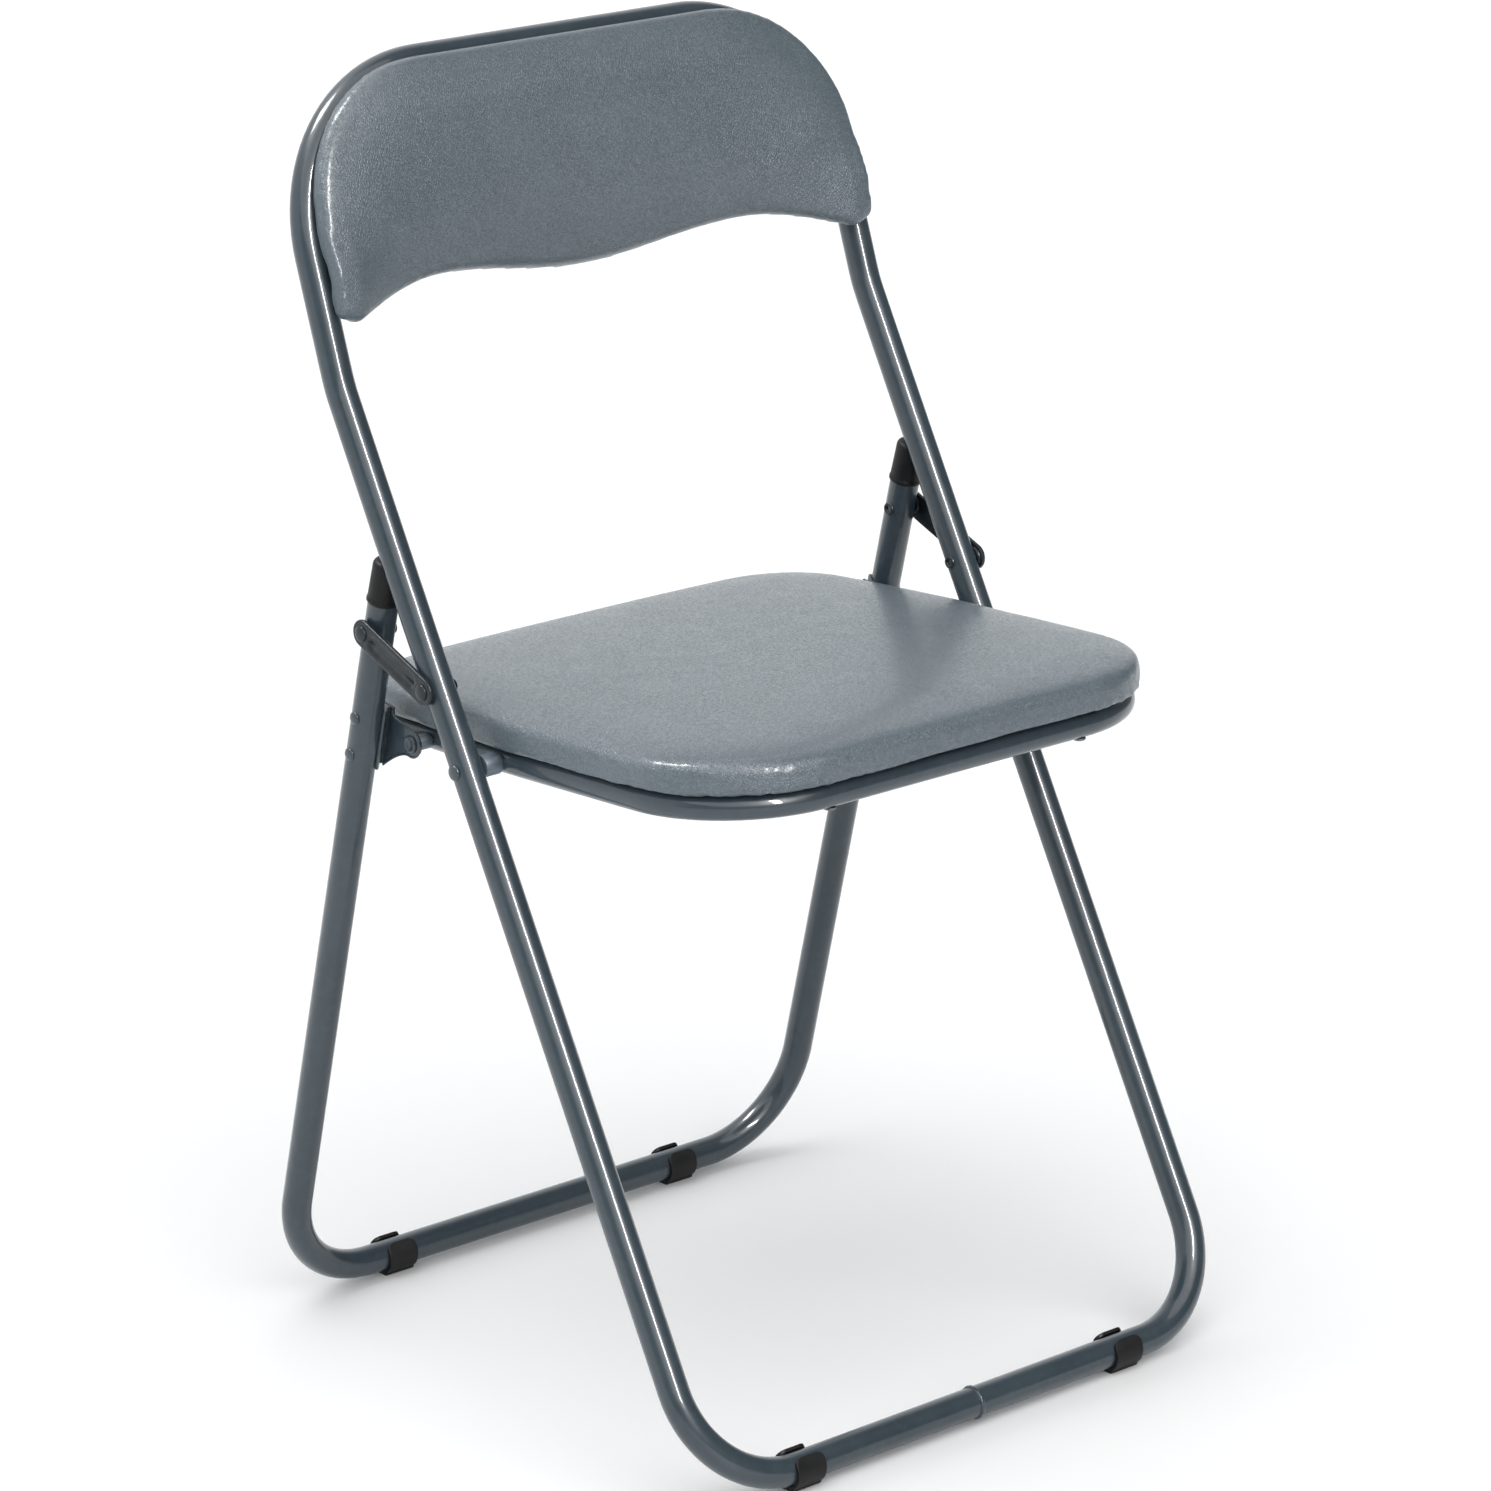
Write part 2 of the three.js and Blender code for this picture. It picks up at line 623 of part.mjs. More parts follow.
// ---------------------------------------------------------------- seat
// The seat's outline, moved inwards, as the corners of a closed bent path.
function seatCorners(inset) {
  const half = [
    { p: at(SEAT_HALF_WIDTH - inset, SEAT_FRONT + inset, 0), r: SEAT_FRONT_R - inset },
    { p: at(SEAT_HALF_WIDTH - inset, 0, 0), r: SEAT_SIDE_R },
    { p: at(SEAT_REAR_HALF_WIDTH - inset, SEAT_REAR - inset, 0), r: SEAT_REAR_R - inset },
  ];
  const mirrored = half.map(({ p, r }) => ({ p: at(-p.x, p.y, 0), r })).reverse();
  return [...half, ...mirrored];
}

// A flat slab of the seat's outline between two heights, its edges rounded if asked.
function seatSlab(inset, bottom, top, round = 0, steps = 5) {
  const points = bentStations(seatCorners(inset + round), true, steps).map(
    ({ point }) => new THREE.Vector2(point.x, point.y),
  );
  const slab = new THREE.ExtrudeGeometry(new THREE.Shape(points), {
    depth: top - bottom - 2 * round,
    bevelEnabled: round > 0,
    bevelSize: round,
    bevelThickness: round,
    bevelSegments: 2,
  });
  slab.translate(0, 0, bottom + round);
  return solid(slab);
}

const SEAT_SCREWS = SIDES.flatMap(({ side, sign }) => [
  { name: "front_" + side, x: sign * SEAT_SCREW_X, y: SEAT_FRONT + SEAT_TUBE_INSET },
  { name: "rear_" + side, x: sign * SEAT_SCREW_X, y: SEAT_REAR - SEAT_TUBE_INSET },
]);
const screwHoles = SEAT_SCREWS.map(({ x, y }) =>
  rod(at(x, y, -20), at(x, y, BOARD_BOTTOM + BOARD_THICK - 2), SCREW_R + GAP),
);

function seatRing() {
  const corners = seatCorners(SEAT_TUBE_INSET);
  const rear = SEAT_REAR - SEAT_TUBE_INSET;
  const order = [...corners.slice(3), ...corners.slice(0, 3)];
  const loop = [{ p: at(-SEAM / 2, rear, 0), r: 0 }, ...order, { p: at(SEAM / 2, rear, 0), r: 0 }];
  const ring = bar(bentStations(loop), SEAT_TUBE_R, TUBE_WALL);
  return cut(ring, [crossHoles(0, 0, HOLE_R), ...screwHoles]);
}
add(seat, "seat_frame_tube", seatRing(), paint);
add(
  seat,
  "seat_board",
  cut(seatSlab(BOARD_INSET, BOARD_BOTTOM, BOARD_BOTTOM + BOARD_THICK), screwHoles),
  board,
);
add(
  seat,
  "seat_pad",
  seatSlab(0, PAD_BOTTOM, PAD_TOP, PAD_ROUND).subtract(
    seatSlab(BOARD_INSET - GAP, PAD_BOTTOM - 2, BOARD_BOTTOM + BOARD_THICK + GAP),
  ),
  vinyl,
);
for (const { name, x, y } of SEAT_SCREWS) {
  const fastener = add(seat, "seat_screw_" + name, screw(2 * SEAT_TUBE_R + 6), zinc);
  fastener.position.set(x, y, -SEAT_TUBE_R - GAP);
}

// ---------------------------------------------------------------- pivots and link arms
// A spacer washer across the chair between |x| = inner and |x| = outer.
function spacer(inner, outer, radius, hole) {
  const bore = rod(at(inner - 1, 0, 0), at(outer + 1, 0, 0), hole);
  return rod(at(inner, 0, 0), at(outer, 0, 0), radius, 16).subtract(bore);
}

const linkFront = at(0, 0, LINK_FRONT_PIVOT);
const linkRear = carry(at(0, 0, LINK_REAR_PIVOT), rearFrame, frontFrame);
const LINK_INNER = HALF_SPAN + TUBE_R + LINK_OFFSET;

// A pressed arm in the front leg's frame: a plate with rounded ends and a raised rim,
// and a boss at each rivet that holds it clear of the rear leg's plug.
function linkArm(sign) {
  const span = new THREE.Vector2(linkFront.y - linkRear.y, linkFront.z - linkRear.z);
  const stadium = (radius) => {
    const shape = new THREE.Shape();
    shape.absarc(0, 0, radius, Math.PI / 2, (3 * Math.PI) / 2);
    shape.absarc(span.length(), 0, radius, -Math.PI / 2, Math.PI / 2);
    return shape;
  };
  const options = { curveSegments: 10, bevelEnabled: false };
  const body = new THREE.ExtrudeGeometry(stadium(LINK_HALF_WIDTH), { ...options, depth: LINK_RIM });
  const pocket = new THREE.ExtrudeGeometry(stadium(LINK_HALF_WIDTH - LINK_RIM_WIDTH), {
    ...options,
    depth: LINK_RIM,
  });
  pocket.translate(0, 0, LINK_PLATE);
  const ends = [0, span.length()];
  const bosses = ends.map((x) =>
    rod(at(x, 0, GAP - LINK_OFFSET), at(x, 0, LINK_PLATE), LINK_BOSS_R, 16),
  );
  const holes = ends.map((x) => rod(at(x, 0, -5), at(x, 0, 10), HOLE_R));
  const dished = solid(body).subtract(solid(pocket));
  const flat = cut(dished.add(bosses[0]).add(bosses[1]), holes);
  // The flat arm's x axis runs from the rear pivot to the front one; its z axis points outwards.
  const along = at(0, span.x, span.y).normalize();
  const outward = at(sign, 0, 0);
  const across = new THREE.Vector3().crossVectors(outward, along);
  const stand = new THREE.Matrix4().makeBasis(along, across, outward);
  stand.setPosition(sign * LINK_INNER, linkRear.y, linkRear.z);
  return geometryOf(flat).applyMatrix4(stand);
}

for (const { side, sign } of SIDES) {
  add(frontFrame, "link_arm_" + side, linkArm(sign), paint);
  const head = LINK_INNER + LINK_PLATE + GAP;
  const linkRivet = rivet(head - (HALF_SPAN - TUBE_R - GAP), LINK_HEAD_R);
  placeRivet(frontFrame, "link_front_rivet_" + side, sign, head, 0, LINK_FRONT_PIVOT, linkRivet);
  placeRivet(rearFrame, "link_rear_rivet_" + side, sign, head, 0, LINK_REAR_PIVOT, linkRivet);
  const seatHead = HALF_SPAN + TUBE_R + GAP;
  const seatThrough = seatHead - (SEAT_SIDE - SEAT_TUBE_R - 2 * FIT);
  const seatRivet = rivet(seatThrough, SEAT_HEAD_R);
  placeRivet(frontFrame, "seat_pivot_rivet_" + side, sign, seatHead, 0, SEAT_PIVOT, seatRivet);
  const ringFace = SEAT_SIDE + SEAT_TUBE_R + GAP;
  const boss = spacer(ringFace, HALF_SPAN - TUBE_R - GAP, BOSS_R, HOLE_R);
  const rearFace = ringFace - REAR_RING_STEP;
  const rearBoss = spacer(rearFace, BRACKET_INNER - GAP, SMALL_BOSS_R, HOLE_R);
  for (const [name, shape, y] of [
    ["seat_pivot_spacer_", boss, 0],
    ["rear_pivot_spacer_", rearBoss, SEAT_REAR_PIVOT],
  ]) {
    const mesh = add(seat, name + side, shape, zinc);
    mesh.position.y = y;
    if (sign < 0) mesh.rotation.z = Math.PI;
  }
}

export default group;
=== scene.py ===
"""Looks of a padded steel folding chair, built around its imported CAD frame.

Lengths are worked out in millimetres in the local frames of the chair's parts, and every
mesh is written in metres in the chair's own frame: +Z up, the chair faces -Y.
"""

import math

import bmesh
import bpy
import numpy as np
from mathutils import Matrix, Quaternion, Vector, noise

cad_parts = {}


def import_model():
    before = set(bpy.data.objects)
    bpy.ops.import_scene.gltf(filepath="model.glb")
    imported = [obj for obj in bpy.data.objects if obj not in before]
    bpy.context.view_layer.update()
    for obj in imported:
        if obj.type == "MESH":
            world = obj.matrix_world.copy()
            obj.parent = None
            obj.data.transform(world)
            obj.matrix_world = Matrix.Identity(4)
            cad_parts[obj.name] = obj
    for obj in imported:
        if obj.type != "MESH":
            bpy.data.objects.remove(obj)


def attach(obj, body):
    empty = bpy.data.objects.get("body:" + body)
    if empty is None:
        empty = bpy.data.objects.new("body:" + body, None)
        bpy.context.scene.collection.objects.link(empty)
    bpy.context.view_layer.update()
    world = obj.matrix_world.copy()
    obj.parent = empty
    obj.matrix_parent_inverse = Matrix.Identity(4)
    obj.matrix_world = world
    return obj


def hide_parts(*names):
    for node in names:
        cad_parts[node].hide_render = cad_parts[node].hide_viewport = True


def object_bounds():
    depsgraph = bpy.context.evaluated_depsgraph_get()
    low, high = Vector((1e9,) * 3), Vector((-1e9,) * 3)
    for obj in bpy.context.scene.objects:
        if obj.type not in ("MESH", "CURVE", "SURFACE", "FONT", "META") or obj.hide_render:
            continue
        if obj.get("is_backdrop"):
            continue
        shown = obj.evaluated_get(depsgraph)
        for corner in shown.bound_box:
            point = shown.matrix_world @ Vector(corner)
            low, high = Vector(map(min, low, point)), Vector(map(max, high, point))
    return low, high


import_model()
CAD_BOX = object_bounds()

# ------------------------------------------------------------------ dimensions, in mm
MM = 0.001
TUBE_R = 9.5
SEAT_TUBE_R = 8.0
HALF_SPAN = 210.0
WALL = 1.2
MOUTH_DEPTH = 14.0  # how deep an open tube end is hollow
SEAM = 0.4
GAP = 0.3  # clearance between neighbouring parts

FRONT_LEAN = math.radians(29.1)
BACK_LEAN = math.radians(19.23)
REAR_LEAN = math.radians(13.79)
SEAT_TILT = math.radians(3.25)
FRONT_LEG = 691.2
BACK_HEIGHT = 185.1
FRONT_CORNER_R = 66.0
KNEE_R = 90.0
TOP_CORNER_R = 106.0
BASE_DEPTH = 415.6
REAR_CORNER_R = 67.0
REAR_TUBE_END = 502.0
CAP_START = 495.0
CAP_END = 523.0
CAP_R = 10.5
AXLE_HEIGHT = 12.0
FOOT_LENGTH = 22.0
FRONT_FOOT_X = {"left": 122.5, "right": -139.5}
REAR_FOOT_X = {"left": 113.0, "right": -123.0}

SEAT_PIVOT = 451.3
LINK_FRONT_PIVOT = 502.4
LINK_REAR_PIVOT = 475.7
SEAT_REAR_PIVOT = 70.6
BRACKET_RIVETS = {"lower": 392.0, "upper": 417.0}
BRACKET_LOW = 383.0
BRACKET_HIGH = 423.0
BRACKET_INNER = 195.0
BRACKET_PLATE = 2.2
EYE_R = 8.2
WEB_FLARE = 4.0
REAR_RING_STEP = 4.1

LINK_HALF_WIDTH = 8.5
LEG_FACE = HALF_SPAN + TUBE_R
LINK_INNER = LEG_FACE + 1.4
LINK_THICK = 2.9

SEAT_HALF_WIDTH = 195.0
SEAT_REAR_HALF_WIDTH = 186.0
SEAT_FRONT = -213.5
SEAT_REAR = 164.0
SEAT_FRONT_R = 91.0
SEAT_REAR_R = 62.0
SEAT_SIDE_R = 600.0
SEAT_TUBE_INSET = 15.0
SEAT_SIDE = SEAT_HALF_WIDTH - SEAT_TUBE_INSET
SEAT_SCREW_X = 100.0
PAD_BOTTOM = 9.0
PAD_TOP = 32.0
HEM = 20.0  # the cover folded round the board's underside
CROWN = 4.5

BACK_HALF_WIDTH = 211.0
BACK_TOP = 187.5
BACK_CORNER_R = 94.0
BACK_ARCH = 118.0
BACK_ARCH_HEIGHT = 54.5
BACK_BULGE_DROP = 10.0
BACK_EAR_DROP = 20.0
BACK_EAR = 198.5
BACK_BOW = 27.0
BACK_BOW_HALF = 196.0
BACK_BOW_TOP = 155.0
BOARD_BACK = 9.8
BACK_BOARD_THICK = 5.0
BACK_PAD_THICK = 12.0
BACK_HEM = 15.0
TAB_FRONT = 7.4
TAB_THICK = 2.0
TAB_SIZE = 16.0
TAB_REACH = 15.3
SIDE_TAB_HEIGHT = 64.0
TOP_TAB_X = 90.0

SIDES = (("left", 1), ("right", -1))


# ------------------------------------------------------------------ local frames
def turned(origin, angle):
    return Matrix.Translation(Vector(origin)) @ Matrix.Rotation(angle, 4, "X")


WORLD = Matrix.Identity(4)
FRONT = turned((0, -BASE_DEPTH / 2, AXLE_HEIGHT), -FRONT_LEAN)
BACK = FRONT @ turned((0, 0, FRONT_LEG), FRONT_LEAN - BACK_LEAN)
REAR = turned((0, BASE_DEPTH / 2, AXLE_HEIGHT), REAR_LEAN)
SEAT = turned(FRONT @ Vector((0, 0, SEAT_PIVOT)), -SEAT_TILT)


# ------------------------------------------------------------------ mesh helpers
def add(name, data):
    """A new object in the scene."""
    obj = bpy.data.objects.new(name, data)
    bpy.context.scene.collection.objects.link(obj)
    return obj


def piece(name, verts, faces, local=WORLD, sharp=40.0):
    """A mesh object from points in mm in a local frame."""
    mesh = bpy.data.meshes.new(name)
    mesh.from_pydata([(local @ Vector(v)) * MM for v in verts], [], faces)
    mesh.update()
    obj = add(name, mesh)
    bm = bmesh.new()
    bm.from_mesh(mesh)
    bmesh.ops.recalc_face_normals(bm, faces=bm.faces)
    bm.to_mesh(mesh)
    bm.free()
    shade(obj, sharp)
    return obj


def shade(obj, sharp=40.0):
    """Smooth shading, broken at edges sharper than an angle in degrees."""
    obj.data.polygons.foreach_set("use_smooth", [True] * len(obj.data.polygons))
    if sharp:
        obj.data.set_sharp_from_angle(angle=math.radians(sharp))
    obj.data.update()


def bake(obj, sharp=40.0):
    """Applies the object's modifiers to its mesh."""
    depsgraph = bpy.context.evaluated_depsgraph_get()
    mesh = bpy.data.meshes.new_from_object(obj.evaluated_get(depsgraph))
    obj.modifiers.clear()
    obj.data = mesh
    shade(obj, sharp)
    return obj


def bevel(obj, width, angle=40.0):
    """Rounds the edges that turn by more than an angle in degrees."""
    mod = obj.modifiers.new("bevel", "BEVEL")
    mod.width = width * MM
    mod.segments = 2
    mod.limit_method = "ANGLE"
    mod.angle_limit = math.radians(angle)
    mod.use_clamp_overlap = True
    return bake(obj)


def carve(obj, *cutters):
    """Cuts other objects out of obj, and removes them."""
    for other in cutters:
        mod = obj.modifiers.new("carve", "BOOLEAN")
        mod.operation = "DIFFERENCE"
        mod.solver = "EXACT"
        mod.object = other
        bake(obj)
        bpy.data.objects.remove(other)
    return obj


def joined(name, *parts):
    """Several meshes as one object."""
    bm = bmesh.new()
    for part in parts:
        bm.from_mesh(part.data)
        bpy.data.objects.remove(part)
    mesh = bpy.data.meshes.new(name)
    bm.to_mesh(mesh)
    bm.free()
    obj = add(name, mesh)
    shade(obj)
    return obj


def tangents_of(points, closed=False):
    """The direction of travel at every point of a path."""
    before = (points[-1:] if closed else points[:1]) + points[:-1]
    after = points[1:] + (points[:1] if closed else points[-1:])
    return [(b - a).normalized() for a, b in zip(before, after)]


def bent_path(corners, closed=False, per_turn=22, straight=60.0):
    """Points along straight runs joined by circular bends.

    corners is a list of (point, bend radius). Straight runs get a station about every
    `straight` mm, and a quarter turn is `per_turn` facets.
    """
    count = len(corners)
    marks = []
    for i, (corner, radius) in enumerate(corners):
        if not closed and i in (0, count - 1):
            marks.append([corner])
            continue
        into = (corner - corners[i - 1][0]).normalized()
        out = (corners[(i + 1) % count][0] - corner).normalized()
        turn = into.angle(out)
        axis = into.cross(out).normalized()
        start = corner - into * radius * math.tan(turn / 2)
        inward = axis.cross(into)
        centre = start + inward * radius
        facets = max(2, math.ceil(per_turn * turn / (math.pi / 2)))
        angles = [turn * k / facets for k in range(facets + 1)]
        marks.append([centre - (Quaternion(axis, a) @ inward) * radius for a in angles])
    points = []
    for i, run in enumerate(marks):
        points += run
        if i == len(marks) - 1 and not closed:
            break
        target = marks[(i + 1) % len(marks)][0]
        steps = max(1, round((target - run[-1]).length / straight))
        points += [run[-1].lerp(target, k / steps) for k in range(1, steps)]
    return points


def band(rings, count, closed=False):
    """Quads between rings of count points each, and from the last to the first if closed."""
    faces = []
    for i in range(rings if closed else rings - 1):
        here, there = i * count, (i + 1) % rings * count
        for k in range(count):
            j = (k + 1) % count
            faces.append((here + k, here + j, there + j, there + k))
    return faces


def stacked(name, rings, local, sharp=40.0):
    """A closed body from rings of points in order, each ring with as many points."""
    count = len(rings[0])
    last = (len(rings) - 1) * count
    faces = [list(range(count))[::-1]] + band(len(rings), count)
    faces.append([last + k for k in range(count)])
    return piece(name, [point for ring in rings for point in ring], faces, local, sharp)


def slab(name, outline, low, high, local):
    """A flat plate: an outline of (x, y) points between two heights along local Z."""
    return stacked(name, [[(x, y, z) for x, y in outline] for z in (low, high)], local)


def sheet(name, point, columns, rows, local):
    """A closed sheet: two layers of a grid of points, joined round their border.

    point(layer, i, j) gives the place of one of them.
    """
    stride, layer = columns + 1, (columns + 1) * (rows + 1)
    verts = [point(k, i, j) for k in (0, 1) for j in range(rows + 1) for i in range(stride)]
    faces = []
    for j in range(rows):
        for i in range(columns):
            a = j * stride + i
            faces.append((a, a + 1, a + stride + 1, a + stride))
            faces.append(tuple(layer + k for k in (a, a + stride, a + stride + 1, a + 1)))
    border = list(range(stride)) + [j * stride + columns for j in range(1, rows + 1)]
    border += [rows * stride + i for i in range(columns - 1, -1, -1)]
    border += [j * stride for j in range(rows - 1, 0, -1)]
    for a, b in zip(border, border[1:] + border[:1]):
        faces.append((a, b, layer + b, layer + a))
    return piece(name, verts, faces, local)


def sweep(name, points, radius, local, sides=40, wall=0.0):
    """A round tube along the points. With a wall its ends are open, to a short depth."""
    tangents = tangents_of(points)
    side = tangents[0].orthogonal().normalized()
    verts = []
    for i, (point, tangent) in enumerate(zip(points, tangents)):
        if i:
            side = tangents[i - 1].rotation_difference(tangent) @ side
            side = (side - tangent * side.dot(tangent)).normalized()
        other = tangent.cross(side)
        for k in range(sides):
            angle = 2 * math.pi * k / sides
            verts.append(point + (side * math.cos(angle) + other * math.sin(angle)) * radius)
    faces = band(len(points), sides)
    shrink = (radius - wall) / radius
    for ring, inward in ((0, tangents[0]), (len(points) - 1, -tangents[-1])):
        centre = points[ring]
        last = outer = [ring * sides + k for k in range(sides)]
        for depth in (0.0, MOUTH_DEPTH) if wall else ():
            first = len(verts)
            verts += [centre + (verts[o] - centre) * shrink + inward * depth for o in outer]
            new = list(range(first, first + sides))
            for k in range(sides):
                j = (k + 1) % sides
                faces.append((last[k], last[j], new[j], new[k]))
            last = new
        faces.append(last)
    return piece(name, verts, faces, local)


def lathe(name, profile, local, segments=40, closed=False, sharp=40.0):
    """A turned piece from (radius, height) points about the local Z axis."""
    verts, faces, rings = [], [], []
    for radius, height in profile:
        around = segments if radius else 1
        rings.append(list(range(len(verts), len(verts) + around)))
        for k in range(around):
            angle = 2 * math.pi * k / segments
            verts.append((radius * math.cos(angle), radius * math.sin(angle), height))
    pairs = list(zip(rings, rings[1:]))
    if closed:
        pairs.append((rings[-1], rings[0]))
    for low, high in pairs:
        for k in range(segments):
            j = (k + 1) % segments
            if len(low) == 1:
                faces.append((low[0], high[j], high[k]))
            elif len(high) == 1:
                faces.append((low[k], low[j], high[0]))
            else:
                faces.append((low[k], low[j], high[j], high[k]))
    return piece(name, verts, faces, local, sharp)


def facing(origin, direction):
    """A local frame with its Z axis along direction, in the parent's frame."""
    turn = Vector((0, 0, 1)).rotation_difference(Vector(direction).normalized())
    return Matrix.Translation(Vector(origin)) @ turn.to_matrix().to_4x4()


def axes(x, y, z, origin):
    """A local frame from its three axes and its origin."""
    basis = Matrix((x, y, z)).transposed().to_4x4()
    basis.translation = origin
    return basis


def moved(x, y, z):
    return Matrix.Translation((x, y, z))


def at(x, y, z):
    return Vector((x, y, z))


def arc(cx, cy, radius, start, end, steps):
    """(x, y) points on a circle, from one angle to another."""
    angles = [start + (end - start) * k / steps for k in range(steps + 1)]
    return [(cx + radius * math.cos(a), cy + radius * math.sin(a)) for a in angles]


def quarter(steps):
    """Angles inside a quarter turn, without its two ends."""
    return [k * math.pi / 2 / steps for k in range(1, steps)]


def smooth_step(values):
    share = np.clip(values, 0, 1)
    return share * share * (3 - 2 * share)


def points_of(obj, what="co"):
    """The vertices' positions, or their normals, one to a row."""
    flat = np.empty(len(obj.data.vertices) * 3)
    obj.data.vertices.foreach_get(what, flat)
    return flat.reshape(-1, 3)


def set_points(obj, co):
    obj.data.vertices.foreach_set("co", np.asarray(co, float).ravel())
    obj.data.update()


# ------------------------------------------------------------------ materials
def srgb(r, g, b):
    """An 8-bit screen colour as linear values."""
    return tuple(((c / 255 + 0.055) / 1.055) ** 2.4 if c > 10 else c / 3294 for c in (r, g, b))


class Nodes:
    """A short way to write the node tree of a material or a world."""

    def __init__(self, owner, coords="Object"):
        owner.use_nodes = True
        self.owner = owner
        self.tree = owner.node_tree
        self.coords = self.node("TexCoord", {}).outputs[coords]

    def put(self, target, value):
        """Gives an input a number, a vector, a colour or another node's output."""
        if isinstance(value, bpy.types.NodeSocket):
            self.tree.links.new(value, target)
        elif target.type == "RGBA":
            target.default_value = (*value, 1)
        else:
            target.default_value = value

    def node(self, kind, inputs, **settings):
        node = self.tree.nodes.new("ShaderNode" + kind)
        for key, value in settings.items():
            setattr(node, key, value)
        for key, value in inputs.items():
            self.put(node.inputs[key], value)
        return node

    def noise(self, scale, detail, roughness=0.5, stretch=None):
        vector = self.coords
        if stretch:
            vector = self.node("Mapping", {"Scale": stretch, "Vector": vector}).outputs["Vector"]
        inputs = {"Scale": scale, "Detail": detail, "Roughness": roughness, "Vector": vector}
        return self.node("TexNoise", inputs).outputs["Fac"]

    def cells(self, scale, feature="F1", warp=0.0):
        vector = self.coords
        if warp:
            wobble = self.node("TexNoise", {"Scale": scale * 0.9, "Vector": vector})
            inputs = {0: wobble.outputs["Color"], 1: (warp, warp, warp), 2: vector}
            vector = self.node("VectorMath", inputs, operation="MULTIPLY_ADD").outputs[0]
        inputs = {"Scale": scale, "Vector": vector}
        return self.node("TexVoronoi", inputs, feature=feature).outputs["Distance"]

    def ramp(self, source, low, high, start=0.0, end=1.0):
        """Turns low..high of the source into start..end."""
        span = {"From Min": low, "From Max": high, "To Min": start, "To Max": end}
        return self.node("MapRange", {"Value": source, **span}).outputs["Result"]

    def math(self, operation, a, b):
        return self.node("Math", {0: a, 1: b}, operation=operation).outputs[0]

    def mix(self, factor, a, b):
        return self.node("Mix", {0: factor, 6: a, 7: b}, data_type="RGBA").outputs[2]

    def edges(self, radius):
        """1 on sharp outer edges and 0 on flat surface, from a rounded normal."""
        rounded = self.node("Bevel", {"Radius": radius}, samples=4).outputs["Normal"]
        plain = self.node("NewGeometry", {}).outputs["Normal"]
        dot = self.node("VectorMath", {0: rounded, 1: plain}, operation="DOT_PRODUCT")
        return self.ramp(dot.outputs["Value"], 0.995, 0.93)

    def bump(self, height, distance, strength, **after):
        inputs = {"Strength": strength, "Distance": distance, "Height": height, **after}
        return self.node("Bump", inputs).outputs["Normal"]

    def finish(self, colour, roughness, **others):
        """Fills in the shader of a material."""
        inputs = {"Base Color": colour, "Roughness": roughness}
        inputs.update((key.replace("_", " "), value) for key, value in others.items())
        for key, value in inputs.items():
            self.put(self.tree.nodes["Principled BSDF"].inputs[key], value)
        return self.owner


def surface(name):
    return Nodes(bpy.data.materials.new(name))


def powder_coat(name, low, high, coat, ior):
    n = surface(name)
    broad = n.noise(9, 2)
    fine = n.noise(160, 4)
    colour = n.mix(n.ramp(broad, 0.35, 0.65), srgb(*low), srgb(*high))
    colour = n.mix(n.ramp(fine, 0.45, 0.8, 0, 0.3), colour, srgb(68, 80, 89))
    worn = n.math("MULTIPLY", n.edges(0.0006), n.ramp(n.noise(420, 3), 0.42, 0.62))
    colour = n.mix(n.math("MULTIPLY", worn, 0.55), colour, srgb(112, 122, 128))
    rough = n.ramp(n.noise(70, 4), 0.3, 0.7, 0.3, 0.4)
    peel = n.bump(n.noise(330, 2), 0.00005, 0.4)
    return n.finish(colour, rough, Normal=peel, Coat_Weight=coat, Coat_Roughness=0.05, IOR=ior)


def vinyl():
    n = surface("vinyl_slate")
    cloud = n.noise(26, 4, 0.6)
    speck = n.noise(480, 4, 0.65)
    colour = n.mix(n.ramp(cloud, 0.3, 0.7), srgb(83, 97, 105), srgb(91, 105, 113))
    colour = n.mix(n.ramp(speck, 0.42, 0.75, 0, 0.4), colour, srgb(124, 137, 144))
    grain = n.cells(640, "DISTANCE_TO_EDGE", 0.0011)
    creases = n.ramp(grain, 0.0, 0.22)
    # Painted shade: the colour is darkened towards a deeper slate inside the grain's creases, as
    # shade falling in them.
    painted_crease_shade = n.math("SUBTRACT", 1.0, creases)
    colour = n.mix(n.math("MULTIPLY", painted_crease_shade, 0.3), colour, srgb(58, 67, 74))
    rough = n.ramp(n.noise(60, 4), 0.3, 0.7, 0.34, 0.44)
    tumble = n.bump(n.noise(120, 3), 0.0003, 0.2)
    normal = n.bump(creases, 0.00022, 0.7, Normal=tumble)
    coat = n.ramp(speck, 0.4, 0.6, 0.25, 0.7)
    return n.finish(colour, rough, Normal=normal, Coat_Weight=coat, Coat_Roughness=0.22, IOR=1.5)


def black_plastic():
    n = surface("black_moulded_plastic")
    colour = n.mix(n.ramp(n.noise(40, 3), 0.3, 0.7), srgb(13, 13, 15), srgb(20, 20, 22))
    scuff = n.math("MULTIPLY", n.edges(0.0008), n.ramp(n.noise(300, 4), 0.45, 0.65))
    colour = n.mix(n.math("MULTIPLY", scuff, 0.5), colour, srgb(58, 58, 60))
    rough = n.ramp(n.noise(120, 4), 0.3, 0.7, 0.42, 0.58)
    return n.finish(colour, rough, Normal=n.bump(n.cells(1400), 0.00006, 0.4), IOR=1.33)


def zinc():
    n = surface("zinc_plate")
    brushed = n.noise(90, 4, 0.6, (1, 6, 6))
    colour = n.mix(n.ramp(brushed, 0.3, 0.7), srgb(86, 97, 107), srgb(112, 123, 133))
    rough = n.ramp(brushed, 0.3, 0.7, 0.38, 0.52)
    return n.finish(colour, rough, Normal=n.bump(n.noise(600, 3), 0.00004, 0.4), Metallic=0.35)


